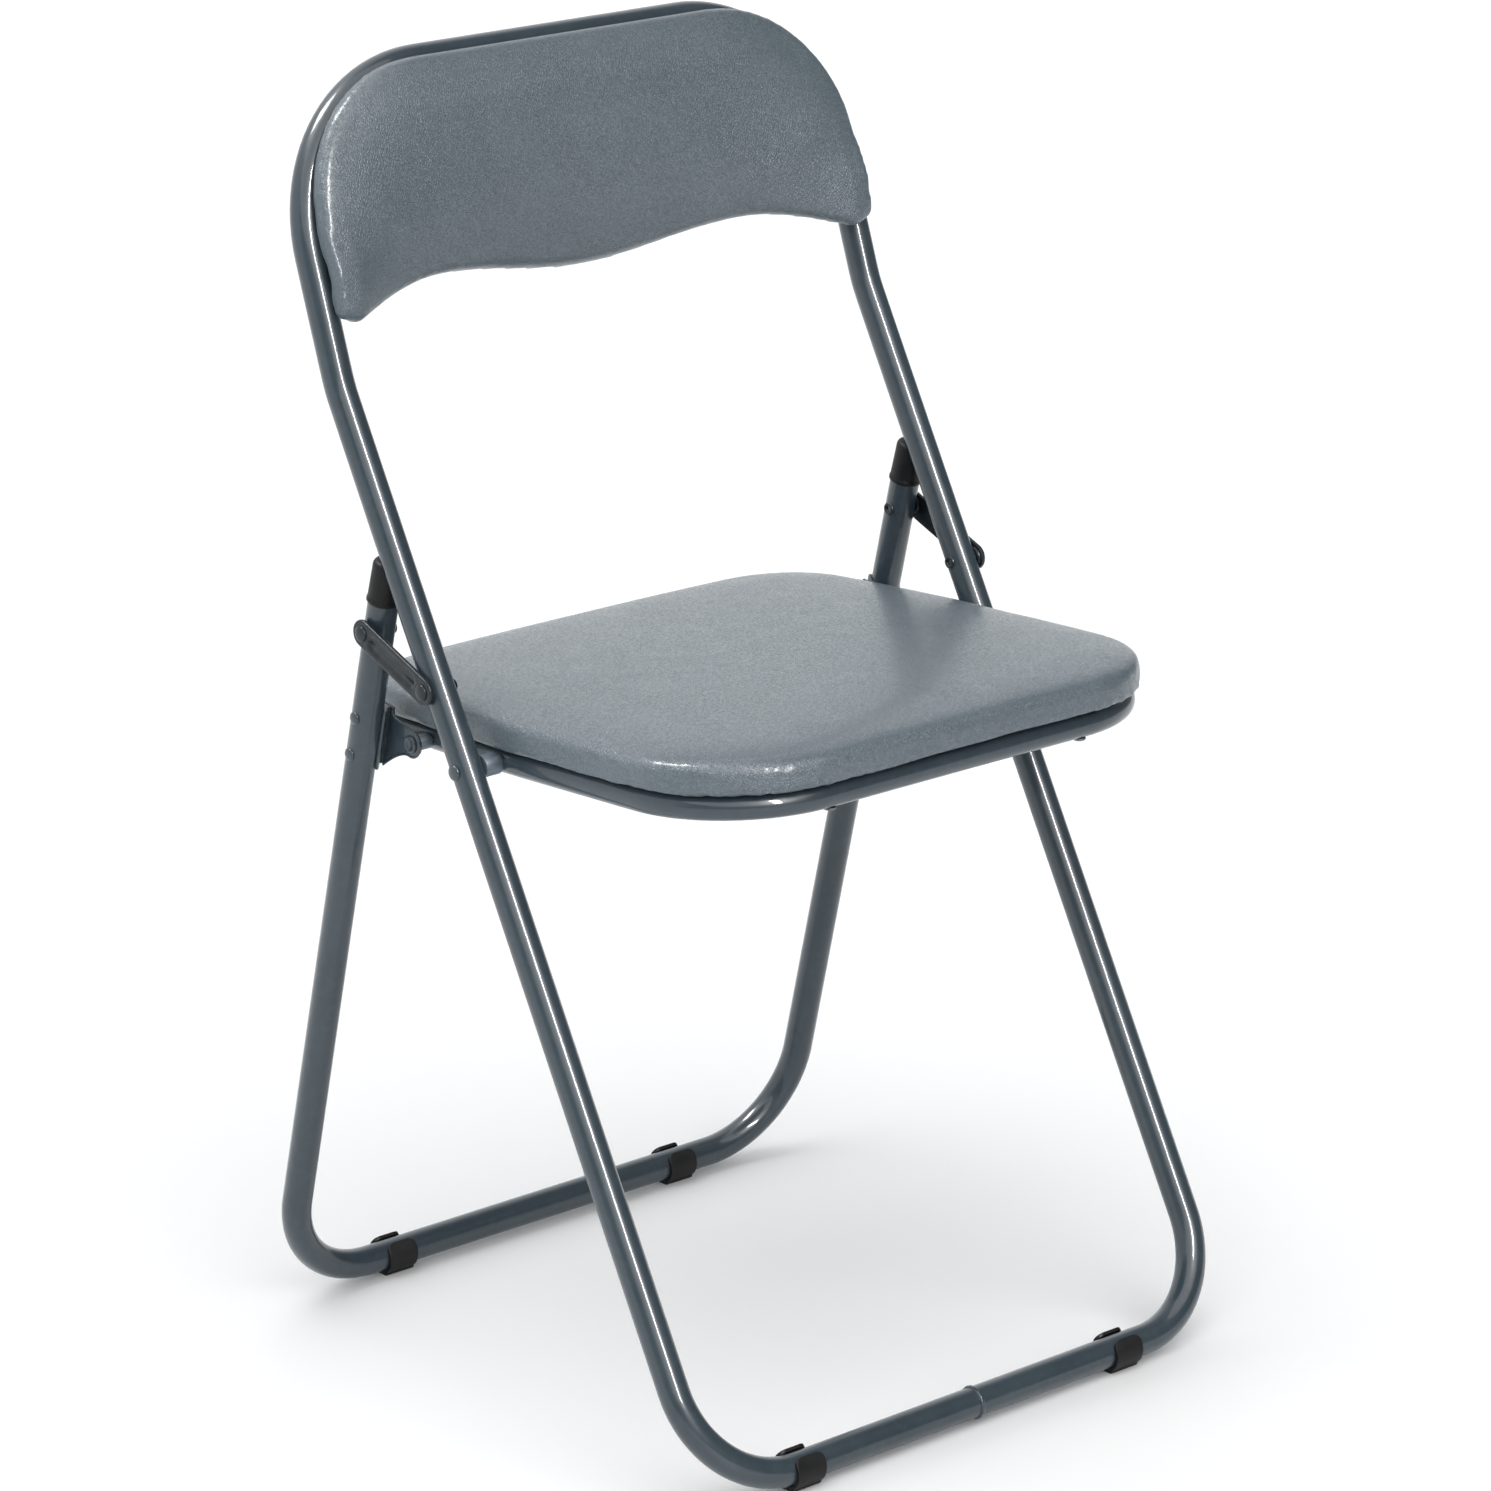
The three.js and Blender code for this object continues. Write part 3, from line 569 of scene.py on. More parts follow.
def fibreboard():
    n = surface("dark_fibreboard")
    fibres = n.noise(240, 6, 0.7, (1, 0.35, 1))
    colour = n.mix(n.ramp(fibres, 0.35, 0.65), srgb(38, 39, 41), srgb(56, 57, 59))
    flecks = n.ramp(n.noise(900, 3), 0.66, 0.72)
    colour = n.mix(n.math("MULTIPLY", flecks, 0.4), colour, srgb(84, 84, 84))
    rough = n.ramp(fibres, 0.3, 0.7, 0.7, 0.85)
    return n.finish(colour, rough, Normal=n.bump(fibres, 0.0002, 0.5))


MATERIALS = {
    "powder_coat": powder_coat("powder_coat_slate", (47, 60, 68), (54, 67, 75), 0.6, 1.4),
    "vinyl": vinyl(),
    "black_plastic": black_plastic(),
    "zinc": zinc(),
    "board": fibreboard(),
}
# Painted shade: a darker copy of the slate powder coat, for the link arms and their rivets, which
# face the dim side and get their darkness painted into the colour.
SHADED_COAT = powder_coat("powder_coat_painted_shade", (27, 33, 38), (33, 40, 45), 0.15, 1.33)


def place(obj, body, slot, *nodes):
    """Gives a finished piece its material and its body, and hides the CAD parts it stands for."""
    obj.data.materials.clear()
    obj.data.materials.append(MATERIALS[slot])
    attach(obj, body)
    if nodes:
        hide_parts(*nodes)


# ------------------------------------------------------------------ frame tubes
KNEE_TURN = FRONT_LEAN - BACK_LEAN
TOP_BAR = at(0, -BACK_HEIGHT * math.sin(KNEE_TURN), FRONT_LEG + BACK_HEIGHT * math.cos(KNEE_TURN))


def front_loop():
    half = [
        (at(HALF_SPAN, 0, 0), FRONT_CORNER_R),
        (at(HALF_SPAN, 0, FRONT_LEG), KNEE_R),
        (at(HALF_SPAN, TOP_BAR.y, TOP_BAR.z), TOP_CORNER_R),
    ]
    mirrored = [(at(-p.x, p.y, p.z), r) for p, r in reversed(half)]
    return bent_path([(at(SEAM / 2, 0, 0), 0)] + half + mirrored + [(at(-SEAM / 2, 0, 0), 0)])


def rear_loop():
    return bent_path(
        [
            (at(HALF_SPAN, 0, REAR_TUBE_END), 0),
            (at(HALF_SPAN, 0, 0), REAR_CORNER_R),
            (at(-HALF_SPAN, 0, 0), REAR_CORNER_R),
            (at(-HALF_SPAN, 0, REAR_TUBE_END), 0),
        ]
    )


def seat_corners(inset):
    half = [
        (at(SEAT_HALF_WIDTH - inset, SEAT_FRONT + inset, 0), SEAT_FRONT_R - inset),
        (at(SEAT_HALF_WIDTH - inset, 0, 0), SEAT_SIDE_R),
        (at(SEAT_REAR_HALF_WIDTH - inset, SEAT_REAR - inset, 0), SEAT_REAR_R - inset),
    ]
    return half + [(at(-p.x, p.y, 0), r) for p, r in reversed(half)]


def seat_ring():
    corners = seat_corners(SEAT_TUBE_INSET)
    rear = SEAT_REAR - SEAT_TUBE_INSET
    order = corners[3:] + corners[:3]
    return bent_path([(at(-SEAM / 2, rear, 0), 0)] + order + [(at(SEAM / 2, rear, 0), 0)])


for name, path, radius, local, body, node in (
    ("front_loop_tube", front_loop(), TUBE_R, FRONT, "front_frame", "front_frame_tube"),
    ("rear_loop_tube", rear_loop(), TUBE_R, REAR, "rear_frame", "rear_frame_tube"),
    ("seat_ring_tube", seat_ring(), SEAT_TUBE_R, SEAT, "seat", "seat_frame_tube"),
):
    place(sweep(name, path, radius, local, wall=WALL), body, "powder_coat", node)


def weld_ring():
    """The uneven bead of weld round the crossbar's butt joint."""
    turns, around = 72, 10
    half_width, height = 1.7, 1.25
    verts = []
    for i in range(turns):
        angle = 2 * math.pi * i / turns
        lump = 0.18 * noise.noise(at(math.cos(angle) * 4, math.sin(angle) * 4, 1.7))
        lump += 0.1 * math.cos(angle * 17)
        drift = 0.35 * noise.noise(at(math.cos(angle) * 1.5, math.sin(angle) * 1.5, 5.2))
        for k in range(around):
            phi = 2 * math.pi * k / around
            radius = TUBE_R - 0.1 + (height + lump) * math.cos(phi)
            x = half_width * math.sin(phi) + drift
            verts.append((x, radius * math.cos(angle), radius * math.sin(angle)))
    return piece("weld_ring", verts, band(turns, around, closed=True), FRONT, sharp=None)


place(weld_ring(), "front_frame", "powder_coat", "crossbar_weld_bead")


# ------------------------------------------------------------------ feet
def rounded(distance, radius):
    """How far a rounded edge drops, at a distance in from the edge."""
    if radius <= 0 or distance >= radius:
        return 0.0
    return radius - math.sqrt(max(0.0, radius**2 - (radius - distance) ** 2))


def foot(name, x, local, lean):
    """A springy clip with rounded corners, flared lips and a flat tread."""
    inner, wall, columns, rows = TUBE_R + 0.15, 2.1, 20, 64
    middle = inner + wall / 2
    arc_length = math.radians(290) * middle
    tread, tread_slope = 5.2, 0.45

    def point(layer, i, j):
        s = (j / rows - 0.5) * arc_length
        edge = arc_length / 2 - abs(s)
        reach = FOOT_LENGTH / 2 - rounded(edge, 5.0)
        angle = -math.pi / 2 + s / middle
        radius = inner + (wall if layer else 0) + 0.9 * max(0.0, 1 - edge / 6) ** 2
        y, z = radius * math.cos(angle), radius * math.sin(angle)
        if layer and z < -(TUBE_R + 0.4):
            z = -AXLE_HEIGHT + max(0.0, abs(y) - tread) * tread_slope
        return (2 * i / columns - 1) * reach, y, z

    stand = local @ moved(x, 0, 0) @ Matrix.Rotation(lean, 4, "X")
    return bevel(sheet(name, point, columns, rows, stand), 0.55, 50)


for side, _ in SIDES:
    place(foot("foot_front_" + side, FRONT_FOOT_X[side], FRONT, FRONT_LEAN),
          "front_frame", "black_plastic", "front_foot_" + side)
    place(foot("foot_rear_" + side, REAR_FOOT_X[side], REAR, -REAR_LEAN),
          "rear_frame", "black_plastic", "rear_foot_" + side)


# ------------------------------------------------------------------ fasteners
# Radius and height of the head, and radius of the rolled end.
LINK_RIVET = (5.0, 2.1, 4.3)
SEAT_RIVET = (4.8, 2.3, 4.2)
BRACKET_RIVET = (4.0, 2.0, 3.4)


def rivet(name, sign, face, height, local, through, sizes):
    """A rivet across a leg: a dome outside, a hollow rolled end inside."""
    head_r, head_h, tail_r = sizes
    shank, bore = 2.6, 1.7
    profile = [(0.0, head_h)]
    for angle in quarter(9):
        profile.append((head_r * math.sin(angle), head_h * (0.25 + 0.75 * math.cos(angle))))
    profile += [(head_r, head_h * 0.2), (head_r * 0.985, 0.0), (shank, 0.0), (shank, -through)]
    middle, half = (tail_r + bore) / 2, (tail_r - bore) / 2
    for k in range(7):
        angle = k * math.pi / 6
        profile.append((middle + half * math.cos(angle), -through - 1.1 * math.sin(angle)))
    profile += [(bore - 0.1, 2.4 - through), (0.0, 2.6 - through)]
    local = local @ facing((sign * face, 0, height), (sign, 0, 0))
    return lathe(name, profile, local, sharp=50)


for side, sign in SIDES:
    face = LINK_INNER + LINK_THICK
    for end, height, local in (("front", LINK_FRONT_PIVOT, FRONT), ("rear", LINK_REAR_PIVOT, REAR)):
        through = face - (HALF_SPAN - TUBE_R) + 0.1
        pin = rivet(f"link_rivet_{end}_{side}", sign, face, height, local, through, LINK_RIVET)
        place(pin, end + "_frame", "powder_coat", f"link_{end}_rivet_{side}")
        # Painted shade: the darker copy of the powder coat.
        pin.data.materials[0] = SHADED_COAT
    face = LEG_FACE - GAP
    through = face - (SEAT_SIDE - SEAT_TUBE_R) + 1.0
    pin = rivet("seat_rivet_" + side, sign, face, SEAT_PIVOT, FRONT, through, SEAT_RIVET)
    place(pin, "front_frame", "powder_coat", "seat_pivot_rivet_" + side)
    for level, height in BRACKET_RIVETS.items():
        pin = rivet(f"bracket_rivet_{level}_{side}_head", sign, face, height, REAR,
                    face - BRACKET_INNER, BRACKET_RIVET)
        place(pin, "rear_frame", "powder_coat", f"bracket_rivet_{level}_{side}")


def collar(name, sign, inner, outer, radius, y):
    """A round spacer beside the seat ring, with softened edges."""
    bore, soft, length = 3.2, 0.7, outer - inner
    profile = [
        (bore, 0), (radius - soft, 0), (radius - soft * 0.3, soft * 0.3), (radius, soft),
        (radius, length - soft), (radius - soft * 0.3, length - soft * 0.3),
        (radius - soft, length), (bore, length),
    ]
    local = SEAT @ facing((sign * inner, y, 0), (sign, 0, 0))
    return lathe(name, profile, local, closed=True, sharp=60)


EYE = REAR.inverted() @ (SEAT @ at(0, SEAT_REAR_PIVOT, 0))
EYE_RIVET = [
    (0, 0.5), (2.4, 0.6), (3.4, 1.4), (4.3, 1.9), (5.1, 1.7), (5.6, 1.0), (5.7, 0.3),
    (5.6, 0), (2.8, 0), (2.8, -2.3), (0, -2.5),
]
for side, sign in SIDES:
    place(collar("seat_spacer_" + side, sign, SEAT_SIDE + SEAT_TUBE_R - 0.6,
                 HALF_SPAN - TUBE_R - GAP, 7.0, 0),
          "seat", "zinc", "seat_pivot_spacer_" + side)
    place(collar("eye_spacer_" + side, sign, SEAT_SIDE + SEAT_TUBE_R - REAR_RING_STEP,
                 BRACKET_INNER - 0.2, 5.0, SEAT_REAR_PIVOT),
          "seat", "zinc", "rear_pivot_spacer_" + side)
    eye_face = BRACKET_INNER + BRACKET_PLATE + 0.1
    head = lathe("eye_rivet_" + side, EYE_RIVET,
                 REAR @ facing((sign * eye_face, EYE.y, EYE.z), (sign, 0, 0)), sharp=50)
    place(head, "rear_frame", "powder_coat", "rear_pivot_rivet_" + side)


# ------------------------------------------------------------------ link arms
def link_arm(name, sign, start, end, local):
    """A pressed strip from the rear pivot to the front one: rounded ends, softened edges,
    a sunk trough between the rivets and a low boss behind each of them."""
    along, length, outward = (end - start).normalized(), (end - start).length, at(sign, 0, 0)
    local = local @ axes(along, outward.cross(along), outward,
                         at(sign * LINK_INNER, start.y, start.z))
    half, top, edge = LINK_HALF_WIDTH, LINK_THICK, 1.1
    trough_end, trough_reach, trough_depth = 13.0, 4.6, 1.25

    def sunk(x, y):
        nearest = min(max(x, trough_end), length - trough_end)
        away = math.hypot(x - nearest, y) / trough_reach
        return -trough_depth * float(smooth_step((1.25 - away) / 0.5))

    def stadium(inset):
        radius = half - inset
        right = arc(length, 0, radius, -math.pi / 2, math.pi / 2, 22)
        left = arc(0, 0, radius, math.pi / 2, 3 * math.pi / 2, 22)
        runs = []
        for a, b in ((right[-1], left[0]), (left[-1], right[0])):
            runs.append([(a[0] + (b[0] - a[0]) * k / 40, a[1]) for k in range(1, 40)])
        return right + runs[0] + left + runs[1]

    # Rings from the outline inwards: first round the edge, then across the face.
    profile = [(0.6, 0.0), (0.15, 0.25), (0.0, 0.7)]
    for k in range(5):
        angle = k * math.pi / 8
        profile.append((edge * (1 - math.cos(angle)), top - edge * (1 - math.sin(angle))))
    rings = [[(x, y, z) for x, y in stadium(inset)] for inset, z in profile[:-1]]
    for k in range(16):
        inset = edge + (half - edge - 0.12) * k / 15
        rings.append([(x, y, top + sunk(x, y)) for x, y in stadium(inset)])
    arm = stacked(name, rings, local, sharp=None)
    boss = [(0, -1.3), (5.2, -1.3), (5.8, -1.0), (6.4, 0.0), (6.4, 0.4), (0, 0.4)]
    bosses = [lathe("boss", boss, local @ moved(x, 0, 0)) for x in (0, length)]
    return joined(name, arm, *bosses)


LINK_FRONT = at(0, 0, LINK_FRONT_PIVOT)
LINK_REAR = FRONT.inverted() @ (REAR @ at(0, 0, LINK_REAR_PIVOT))
for side, sign in SIDES:
    arm = link_arm("link_strip_" + side, sign, LINK_REAR, LINK_FRONT, FRONT)
    place(arm, "link_" + side, "powder_coat", "link_arm_" + side)
    # Painted shade: the darker copy of the powder coat.
    arm.data.materials[0] = SHADED_COAT


# ------------------------------------------------------------------ plugs on the rear legs
def leg_plug(name, sign):
    """A tapered black sleeve with a bead at its foot, hollowed where it rests on the front leg."""
    x = sign * HALF_SPAN
    profile = [
        (0, CAP_START + 0.05), (TUBE_R - 0.2, CAP_START), (CAP_R - 0.35, CAP_START),
        (CAP_R, CAP_START + 0.5), (CAP_R, CAP_START + 2.2), (CAP_R - 0.35, CAP_START + 2.8),
    ]
    for share in (k / 8 for k in range(9)):
        profile.append((CAP_R - 0.45 - 0.5 * share, CAP_START + 3.2 + 21.0 * share))
    crown = CAP_R - 0.95
    for angle in quarter(8):
        profile.append(
            (crown - 3.0 * (1 - math.cos(angle)), CAP_END - 3.8 + 3.4 * math.sin(angle))
        )
    profile += [(crown - 3.4, CAP_END - 0.3), (0, CAP_END - 0.1)]
    plug = lathe(name, profile, REAR @ moved(x, 0, 0), 56, sharp=50)
    low, high = (FRONT @ at(x, 0, s) for s in (380, 620))
    bite, length = TUBE_R + 0.25, (high - low).length
    leg = [(0, 0), (bite, 0), (bite, length), (0, length)]
    return bevel(carve(plug, lathe("cutter", leg, facing(low, high - low), 72)), 0.35)


for side, sign in SIDES:
    place(leg_plug("leg_plug_" + side, sign), "rear_frame", "black_plastic", "rear_cap_" + side)


# ------------------------------------------------------------------ seat brackets
def seat_bracket(name, sign):
    """A pressed bracket: a sheet saddle on the leg, a web with a turned edge, a rimmed eye."""
    forward, low, top = -EYE.y, EYE.z - EYE_R, EYE.z + EYE_R
    front, rear = 7.5, -6.5
    bend = list(zip((6.0, BRACKET_LOW), (forward - EYE_R, low), (forward, low)))
    free_edge = [
        tuple((1 - t) ** 2 * a + 2 * t * (1 - t) * b + t * t * c for a, b, c in bend)
        for t in (k / 14 for k in range(14))
    ]
    free_edge += arc(forward, EYE.z, EYE_R, -math.pi / 2, math.pi / 2, 30)
    free_edge += arc(front + WEB_FLARE, top + WEB_FLARE, WEB_FLARE, 1.5 * math.pi, math.pi, 6)
    outline = [(rear, BRACKET_LOW)] + free_edge + [(front, BRACKET_HIGH), (rear, BRACKET_HIGH)]
    inside = BRACKET_INNER + BRACKET_PLATE if sign > 0 else -BRACKET_INNER
    stand = axes(at(0, -1, 0), at(0, 0, 1), at(-1, 0, 0), at(inside, 0, 0))
    web = bevel(slab(name, outline, 0, BRACKET_PLATE, REAR @ stand), 0.5)
    face = sign * (BRACKET_INNER + BRACKET_PLATE - 0.2)
    lip = sweep(name, [at(face, -y, z) for y, z in free_edge], 0.8, REAR, sides=12)
    reach = math.radians(64)
    section = arc(0, 0, TUBE_R + 2.3, -reach, reach, 24)
    section += arc(0, 0, TUBE_R + 0.15, reach, -reach, 24)
    turn = Matrix.Identity(4) if sign < 0 else Matrix.Rotation(math.pi, 4, "Z")
    saddle = bevel(slab(name, section, BRACKET_LOW, BRACKET_HIGH,
                        REAR @ moved(sign * HALF_SPAN, 0, 0) @ turn), 0.5)
    infill = slab(name, [(-5, 0), (5, 0), (5, 2.6), (-5, 2.6)], BRACKET_LOW + 0.6,
                  BRACKET_HIGH - 0.6, REAR @ moved(sign * (BRACKET_INNER + 1.4), 0, 0)
                  @ Matrix.Rotation(-sign * math.pi / 2, 4, "Z"))
    rim = [(3.4, -0.9), (4.6, -0.9), (5.4, -0.5), (5.7, 0.2), (3.4, 0.2)]
    ring = lathe(name, rim, REAR @ facing((sign * BRACKET_INNER, EYE.y, EYE.z), (sign, 0, 0)),
                 closed=True)
    return joined(name, web, lip, saddle, infill, ring)


for side, sign in SIDES:
    place(seat_bracket("seat_bracket_plate_" + side, sign),
          "rear_frame", "powder_coat", "seat_bracket_" + side)


# ------------------------------------------------------------------ screws
def cross_screw(name, origin, direction, length, local):
    """A pan-head screw with a cross recess. direction points from the head into the work."""
    head_r, head_h, pitch = 4.0, 2.0, 0.55
    profile = [(0.0, -head_h)]
    for angle in quarter(8):
        profile.append((head_r * math.sin(angle), -head_h * (0.3 + 0.7 * math.cos(angle))))
    profile += [(head_r, -head_h * 0.25), (head_r * 0.97, 0)]
    for k in range(int(length / pitch) - 2):
        profile.append((2.0 if k % 2 else 1.65, 0.1 + pitch * k))
    profile += [(1.5, length - 1.4), (0, length)]
    where = local @ facing(origin, direction)
    slot = [(-1.9, -0.33), (1.9, -0.33), (1.9, 0.33), (-1.9, 0.33)]
    cutters = [
        slab("cutter", slot, -head_h - 0.5, -head_h + 1.1, where @ Matrix.Rotation(turn, 4, "Z"))
        for turn in (0.6, math.pi / 2 + 0.6)
    ]
    return carve(lathe(name, profile, where, 28, sharp=35), *cutters)


def tab_places(sign):
    """Level, x and height of the two tabs on one side of the back."""
    return (
        ("lower", sign * (HALF_SPAN - TAB_REACH), SIDE_TAB_HEIGHT),
        ("upper", sign * TOP_TAB_X, BACK_HEIGHT - TAB_REACH),
    )


for side, sign in SIDES:
    for level, x, z in tab_places(sign):
        head = cross_screw(f"tab_screw_{level}_{side}", (x, -(TAB_FRONT - TAB_THICK) + GAP, z),
                           (0, -1, 0), BACK_BOARD_THICK + 2, BACK)
        place(head, "front_frame", "zinc", f"back_screw_{level}_{side}")
    for end, y in (
        ("front", SEAT_FRONT + SEAT_TUBE_INSET),
        ("rear", SEAT_REAR - SEAT_TUBE_INSET),
    ):
        head = cross_screw(f"ring_screw_{end}_{side}", (sign * SEAT_SCREW_X, y, -SEAT_TUBE_R),
                           (0, 0, 1), 2 * SEAT_TUBE_R + 6, SEAT)
        place(head, "seat", "zinc", f"seat_screw_{end}_{side}")


# ------------------------------------------------------------------ tabs behind the back
def back_tab(name, x, z):
    """A stamped tab with rounded corners, welded to the loop tube along one edge."""
    soft = 3.5
    centre = TAB_SIZE / 2 - soft
    outline = []
    for k, (cx, cy) in enumerate(((1, 1), (-1, 1), (-1, -1), (1, -1))):
        start = k * math.pi / 2
        outline += arc(cx * centre, cy * centre, soft, start, start + math.pi / 2, 6)
    stand = axes(at(1, 0, 0), at(0, 0, 1), at(0, -1, 0), at(x, -TAB_FRONT + TAB_THICK, z))
    return bevel(slab(name, outline, 0, TAB_THICK, BACK @ stand), 0.4)


for side, sign in SIDES:
    for level, x, z in tab_places(sign):
        tab = back_tab(f"tab_{level}_{side}", x, z)
        place(tab, "front_frame", "powder_coat", f"back_tab_{level}_{side}")


# ------------------------------------------------------------------ cushions
def relaxed(obj, field, passes):
    """A field on the vertices, averaged with its neighbours again and again."""
    pairs = np.empty(len(obj.data.edges) * 2, dtype=np.intc)
    obj.data.edges.foreach_get("vertices", pairs)
    first, second = pairs.reshape(-1, 2).T
    size = len(field)
    neighbours = np.bincount(pairs, minlength=size)[:, None]
    for _ in range(passes):
        total = np.stack([
            np.bincount(first, field[second, axis], size)
            + np.bincount(second, field[first, axis], size)
            for axis in range(3)
        ], axis=1)
        field = (field + total / neighbours) / 2
    return field


def puff(obj, voxel, cap, pinned):
    """Inflates a padded piece with a short cloth simulation.

    pinned(points) gives 1 where the cover is held by the board and 0 where it is free.
    The mesh is remade at about voxel mm, and no point moves further than cap mm.
    """
    frames, calming = 20, 140
    shape = add("shape", obj.data.copy())
    remesh = obj.modifiers.new("remesh", "REMESH")
    remesh.mode = "VOXEL"
    remesh.voxel_size = voxel * MM
    wrap = obj.modifiers.new("wrap", "SHRINKWRAP")
    wrap.target = shape
    bake(obj)
    bpy.data.objects.remove(shape)
    before = points_of(obj)
    hold = pinned(before)
    group = obj.vertex_groups.new(name="held")
    for i in np.nonzero(hold > 0)[0]:
        group.add([int(i)], float(hold[i]), "REPLACE")
    cloth = obj.modifiers.new("cloth", "CLOTH")
    cloth.settings.use_pressure = True
    cloth.settings.uniform_pressure_force = 4.0
    cloth.settings.effector_weights.gravity = 0
    cloth.settings.quality = 5
    cloth.settings.mass = 0.25
    cloth.settings.tension_stiffness = 25
    cloth.settings.compression_stiffness = 12
    cloth.settings.bending_stiffness = 2
    cloth.settings.vertex_group_mass = "held"
    cloth.point_cache.frame_start = 1
    cloth.point_cache.frame_end = frames
    scene = bpy.context.scene
    for step in range(1, frames + 1):
        scene.frame_set(step)
    bake(obj)
    scene.frame_set(1)
    shift = relaxed(obj, points_of(obj) - before, calming)
    length = np.linalg.norm(shift, axis=1, keepdims=True)
    limit = cap * MM * (1 - hold[:, None])
    shift *= np.minimum(1.0, limit / np.maximum(length, 1e-9))
    set_points(obj, before + shift)
    smooth = obj.modifiers.new("smooth", "SMOOTH")
    smooth.factor = 0.5
    smooth.iterations = 5
    subdivide = obj.modifiers.new("subdivide", "SUBSURF")
    subdivide.levels = subdivide.render_levels = 1
    return bake(obj, sharp=None)


def seat_outline(inset):
    points = bent_path(seat_corners(0), closed=True, per_turn=20, straight=25)
    tangents = tangents_of(points, closed=True)
    return [(p.x - t.y * inset, p.y + t.x * inset) for p, t in zip(points, tangents)]


def noise_at(points, size, seed):
    """Smooth noise, about -1 to 1, whose lumps are about size mm across."""
    return np.array([noise.noise(Vector(p) / size + Vector((seed, 0, 0))) for p in points])


def in_frame(points, local):
    """Points in metres, as points in mm in a local frame."""
    turn = np.array(local.inverted())
    return points / MM @ turn[:3, :3].T + turn[:3, 3]


SEAT_HEM_Z = PAD_BOTTOM - 0.5
# How far in from the rim, and how far below the cushion's top.
SEAT_SHOULDER = [
    (0, 7.4), (0.5, 5.0), (1.9, 3.1), (4.2, 2.0), (9, 1.2), (17, 0.6), (28, 0.2), (42, 0),
]


def seat_cushion():
    rim, top = 1.6, PAD_TOP - 3.6
    profile = [
        (rim + HEM + 3, SEAT_HEM_Z + 2.6), (rim + HEM, SEAT_HEM_Z), (rim + 3.4, SEAT_HEM_Z),
        (rim + 1.2, SEAT_HEM_Z + 0.7), (rim + 0.2, SEAT_HEM_Z + 2.2),
    ] + [(rim + inset, top - drop) for inset, drop in SEAT_SHOULDER]
    rings = [[(x, y, z) for x, y in seat_outline(inset)] for inset, z in profile]
    cushion = stacked("seat_cushion", rings, SEAT)

    def pinned(points):
        heights = in_frame(points, SEAT)[:, 2]
        return np.clip((PAD_BOTTOM + 4.0 - heights) / 3.0, 0, 1)

    puff(cushion, 4.2, 1.8, pinned)
    # The foam's crown.
    points = points_of(cushion)
    x, y, z = in_frame(points, SEAT).T
    up = np.array(SEAT.to_3x3() @ at(0, 0, 1))
    middle, half = (SEAT_FRONT + SEAT_REAR) / 2, (SEAT_REAR - SEAT_FRONT) / 2
    across = 1 - np.clip(np.abs(x) / SEAT_HALF_WIDTH, 0, 1) ** 3.5
    along = 1 - np.clip(np.abs(y - middle) / half, 0, 1) ** 3.5
    rise = CROWN * across * along * smooth_step((z - top + 9.0) / 6.0)
    points = points + up * rise[:, None] * MM
    # Gathers where the cover is pulled round the edge, deepest at the front corners.
    low = smooth_step((PAD_BOTTOM + 9.0 - z) / 8.0)
    corner = smooth_step(1.35 - np.hypot(np.abs(x) - 165, y - SEAT_FRONT - 30) / 90)
    flat = np.stack([x, y, z * 0], axis=1)
    folds = 0.75 * noise_at(flat, 5.5, 3.1) * (0.25 + 0.75 * corner) + 0.5 * noise_at(flat, 38, 8.4)
    wave = 0.9 * noise_at(flat, 55, 1.7)
    shift = points_of(cushion, "normal") * folds[:, None] + up * wave[:, None]
    set_points(cushion, points + shift * low[:, None] * MM)
    return cushion


place(seat_cushion(), "seat", "vinyl", "seat_pad")
seat_panel = slab("seat_panel", seat_outline(HEM - 0.5), 0, 5, SEAT @ moved(0, 0, 9.2))
place(bevel(seat_panel, 0.4, 35), "seat", "board", "seat_board")


# Backrest: positions across and up the plane of the upper loop.
def back_top(x):
    past = abs(x) - (BACK_HALF_WIDTH - BACK_CORNER_R)
    if past <= 0:
        return BACK_TOP
    return BACK_TOP - BACK_CORNER_R + math.sqrt(max(0.0, BACK_CORNER_R**2 - past**2))


def back_bottom(x):
    out = abs(x)
    if out < BACK_ARCH:
        return BACK_ARCH_HEIGHT - BACK_BULGE_DROP / 2 * (1 + math.cos(math.pi * out / BACK_ARCH))
    if out < BACK_EAR:
        share = (out - BACK_ARCH) / (BACK_EAR - BACK_ARCH)
        return BACK_ARCH_HEIGHT - BACK_EAR_DROP * (1 - math.cos(math.pi / 2 * share))
    return BACK_ARCH_HEIGHT - BACK_EAR_DROP + 0.42 * (out - BACK_EAR)


def back_bow(x, height):
    across = 1 - min(1.0, abs(x) / BACK_BOW_HALF) ** 2
    low = (BACK_BOW_TOP - height) / (BACK_BOW_TOP - (BACK_ARCH_HEIGHT - BACK_BULGE_DROP))
    return BACK_BOW * across * max(0.0, low)


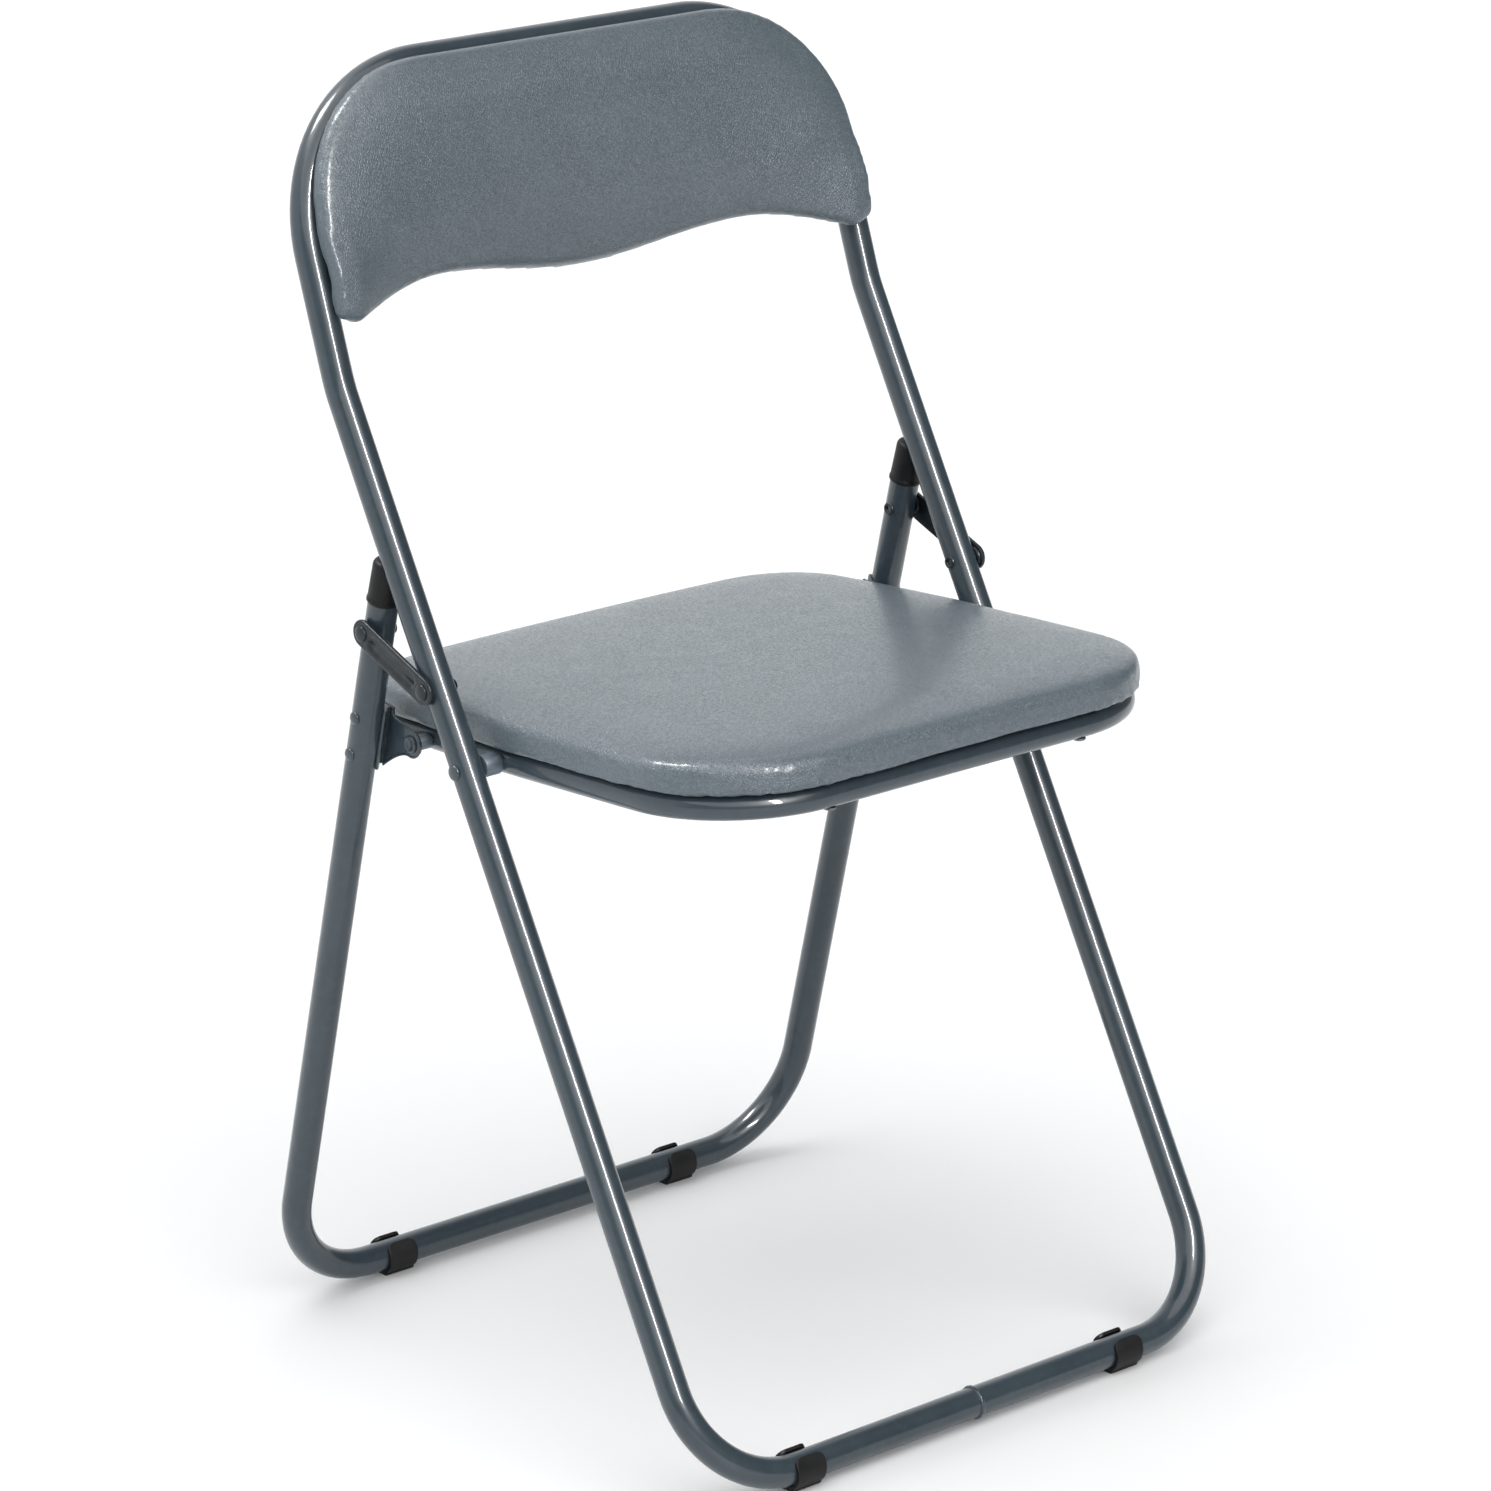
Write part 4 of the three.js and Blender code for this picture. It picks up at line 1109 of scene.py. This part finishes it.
def back_sheet(name, start, thick, inset, front_round, rear_round, recess=0.0, crown=0.0):
    """A bowed slab of the backrest between two depths in front of the loop's plane.

    A recess sinks the rear face inside the hem; a crown is how much thinner the slab is
    at its rim than in its middle.
    """
    columns, rows, rim_half = 100, 28, 600
    scale = (BACK_HALF_WIDTH - inset) / BACK_HALF_WIDTH

    def station(share):
        return BACK_HALF_WIDTH * math.sin(math.pi / 2 * share)

    samples = [station(i / rim_half - 1) for i in range(2 * rim_half + 1)]
    rim = np.array(
        [(x * scale, back_top(x) - inset) for x in samples]
        + [(x * scale, back_bottom(x) + inset) for x in samples]
    )

    def point(layer, i, j):
        share = 0.5 - 0.5 * math.cos(math.pi * j / rows)
        x = station(2 * i / columns - 1)
        low, high = back_bottom(x) + inset, back_top(x) - inset
        x, height = x * scale, low + (high - low) * share
        distance = float(np.sqrt(((rim - (x, height)) ** 2).sum(1).min()))
        if layer:
            thin = crown * (1 - min(1.0, distance / 50)) ** 2
            depth = start + thick - thin - rounded(distance, front_round)
        else:
            inside = float(smooth_step((distance - BACK_HEM) / 4.0))
            depth = start + rounded(distance, rear_round) + recess * inside
        return x, -(depth - back_bow(x, height)), height

    return sheet(name, point, columns, rows, BACK)


def back_cushion():
    start = BOARD_BACK + 0.2
    front = BOARD_BACK + BACK_BOARD_THICK + BACK_PAD_THICK
    cushion = back_sheet("back_cushion", start, front - start, inset=0.6, front_round=4.5,
                         rear_round=3.2, recess=3.0, crown=5.5)

    def pinned(points):
        local = in_frame(points, BACK)
        bow = np.array([back_bow(x, z) for x, _, z in local])
        return np.clip((start + 5.0 - (-local[:, 1] + bow)) / 3.0, 0, 1)

    return puff(cushion, 2.8, 1.4, pinned)


place(back_cushion(), "front_frame", "vinyl", "back_pad")
back_panel = back_sheet("back_panel", BOARD_BACK + 0.9, BACK_BOARD_THICK, BACK_HEM - 1.0,
                        front_round=0.6, rear_round=0.8)
place(back_panel, "front_frame", "board", "back_board")


# ------------------------------------------------------------------ floor, lights, camera
def floor():
    mesh = bpy.data.meshes.new("floor")
    size = 14.0
    mesh.from_pydata([(-size, -size, 0), (size, -size, 0), (size, size, 0), (-size, size, 0)],
                     [], [(0, 1, 2, 3)])
    obj = add("floor", mesh)
    n = surface("pale_floor")
    tone = n.mix(n.ramp(n.noise(1.5, 2), 0.3, 0.7), (0.94, 0.94, 0.94), (0.96, 0.96, 0.96))
    obj.data.materials.append(n.finish(tone, n.ramp(n.noise(8, 2), 0.3, 0.7, 0.6, 0.7)))
    obj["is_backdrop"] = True


def aimed(name, data, azimuth, elevation, distance=0.0, aim=(0, 0, 0)):
    """Adds a light or camera at a distance from the point it looks at.

    azimuth is measured from the chair's front, towards its left side.
    """
    az, el = math.radians(azimuth), math.radians(elevation)
    away = at(math.sin(az) * math.cos(el), -math.cos(az) * math.cos(el), math.sin(el))
    obj = add(name, data)
    obj.location = Vector(aim) + away * distance
    obj.rotation_euler = away.to_track_quat("Z", "Y").to_euler()
    return obj


def sun(name, azimuth, elevation, strength, spread):
    """A broad even light."""
    data = bpy.data.lights.new(name, "SUN")
    data.energy = strength
    data.angle = math.radians(spread)
    aimed(name, data, azimuth, elevation)


def strip_light(name, azimuth, elevation, size, power):
    """A soft box that is only seen as a highlight."""
    data = bpy.data.lights.new(name, "AREA")
    data.shape = "RECTANGLE"
    data.size, data.size_y = size
    data.energy = power
    aimed(name, data, azimuth, elevation, 4.5, (0, 0, 0.45)).visible_diffuse = False


def world():
    """A pale studio: white behind the chair, dim in front of it and on its left."""
    scene = bpy.context.scene
    scene.world = bpy.data.worlds.new("studio")
    n = Nodes(scene.world, "Generated")
    brightest = (-0.26, 0.97, 0.0)
    towards = n.node("VectorMath", {0: n.coords, 1: brightest}, operation="DOT_PRODUCT")
    fade = n.ramp(towards.outputs["Value"], -0.05, 0.42, 0.14, 1.04)
    fade.node.interpolation_type = "SMOOTHSTEP"
    background = n.tree.nodes["Background"].inputs
    n.put(background["Strength"], fade)
    n.put(background["Color"], (0.97, 0.985, 1.0))
    scene.view_settings.view_transform = "Standard"


def camera():
    data = bpy.data.cameras.new("camera")
    data.sensor_width = 36.0
    data.lens = 140.1
    data.clip_end = 60
    centre = (0.05223, 0.06352, 0.35346)
    bpy.context.scene.camera = aimed("camera", data, -40.83, 17.89, 3.6432, centre)


floor()
world()
sun("overhead", azimuth=-30, elevation=60, strength=2.5, spread=85)
strip_light("strip", azimuth=-10, elevation=33, size=(0.5, 2.4), power=270)
strip_light("rim", azimuth=-147, elevation=60, size=(1.1, 1.5), power=190)
camera()

boxes = [[list(corner) for corner in box] for box in (CAD_BOX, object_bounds())]
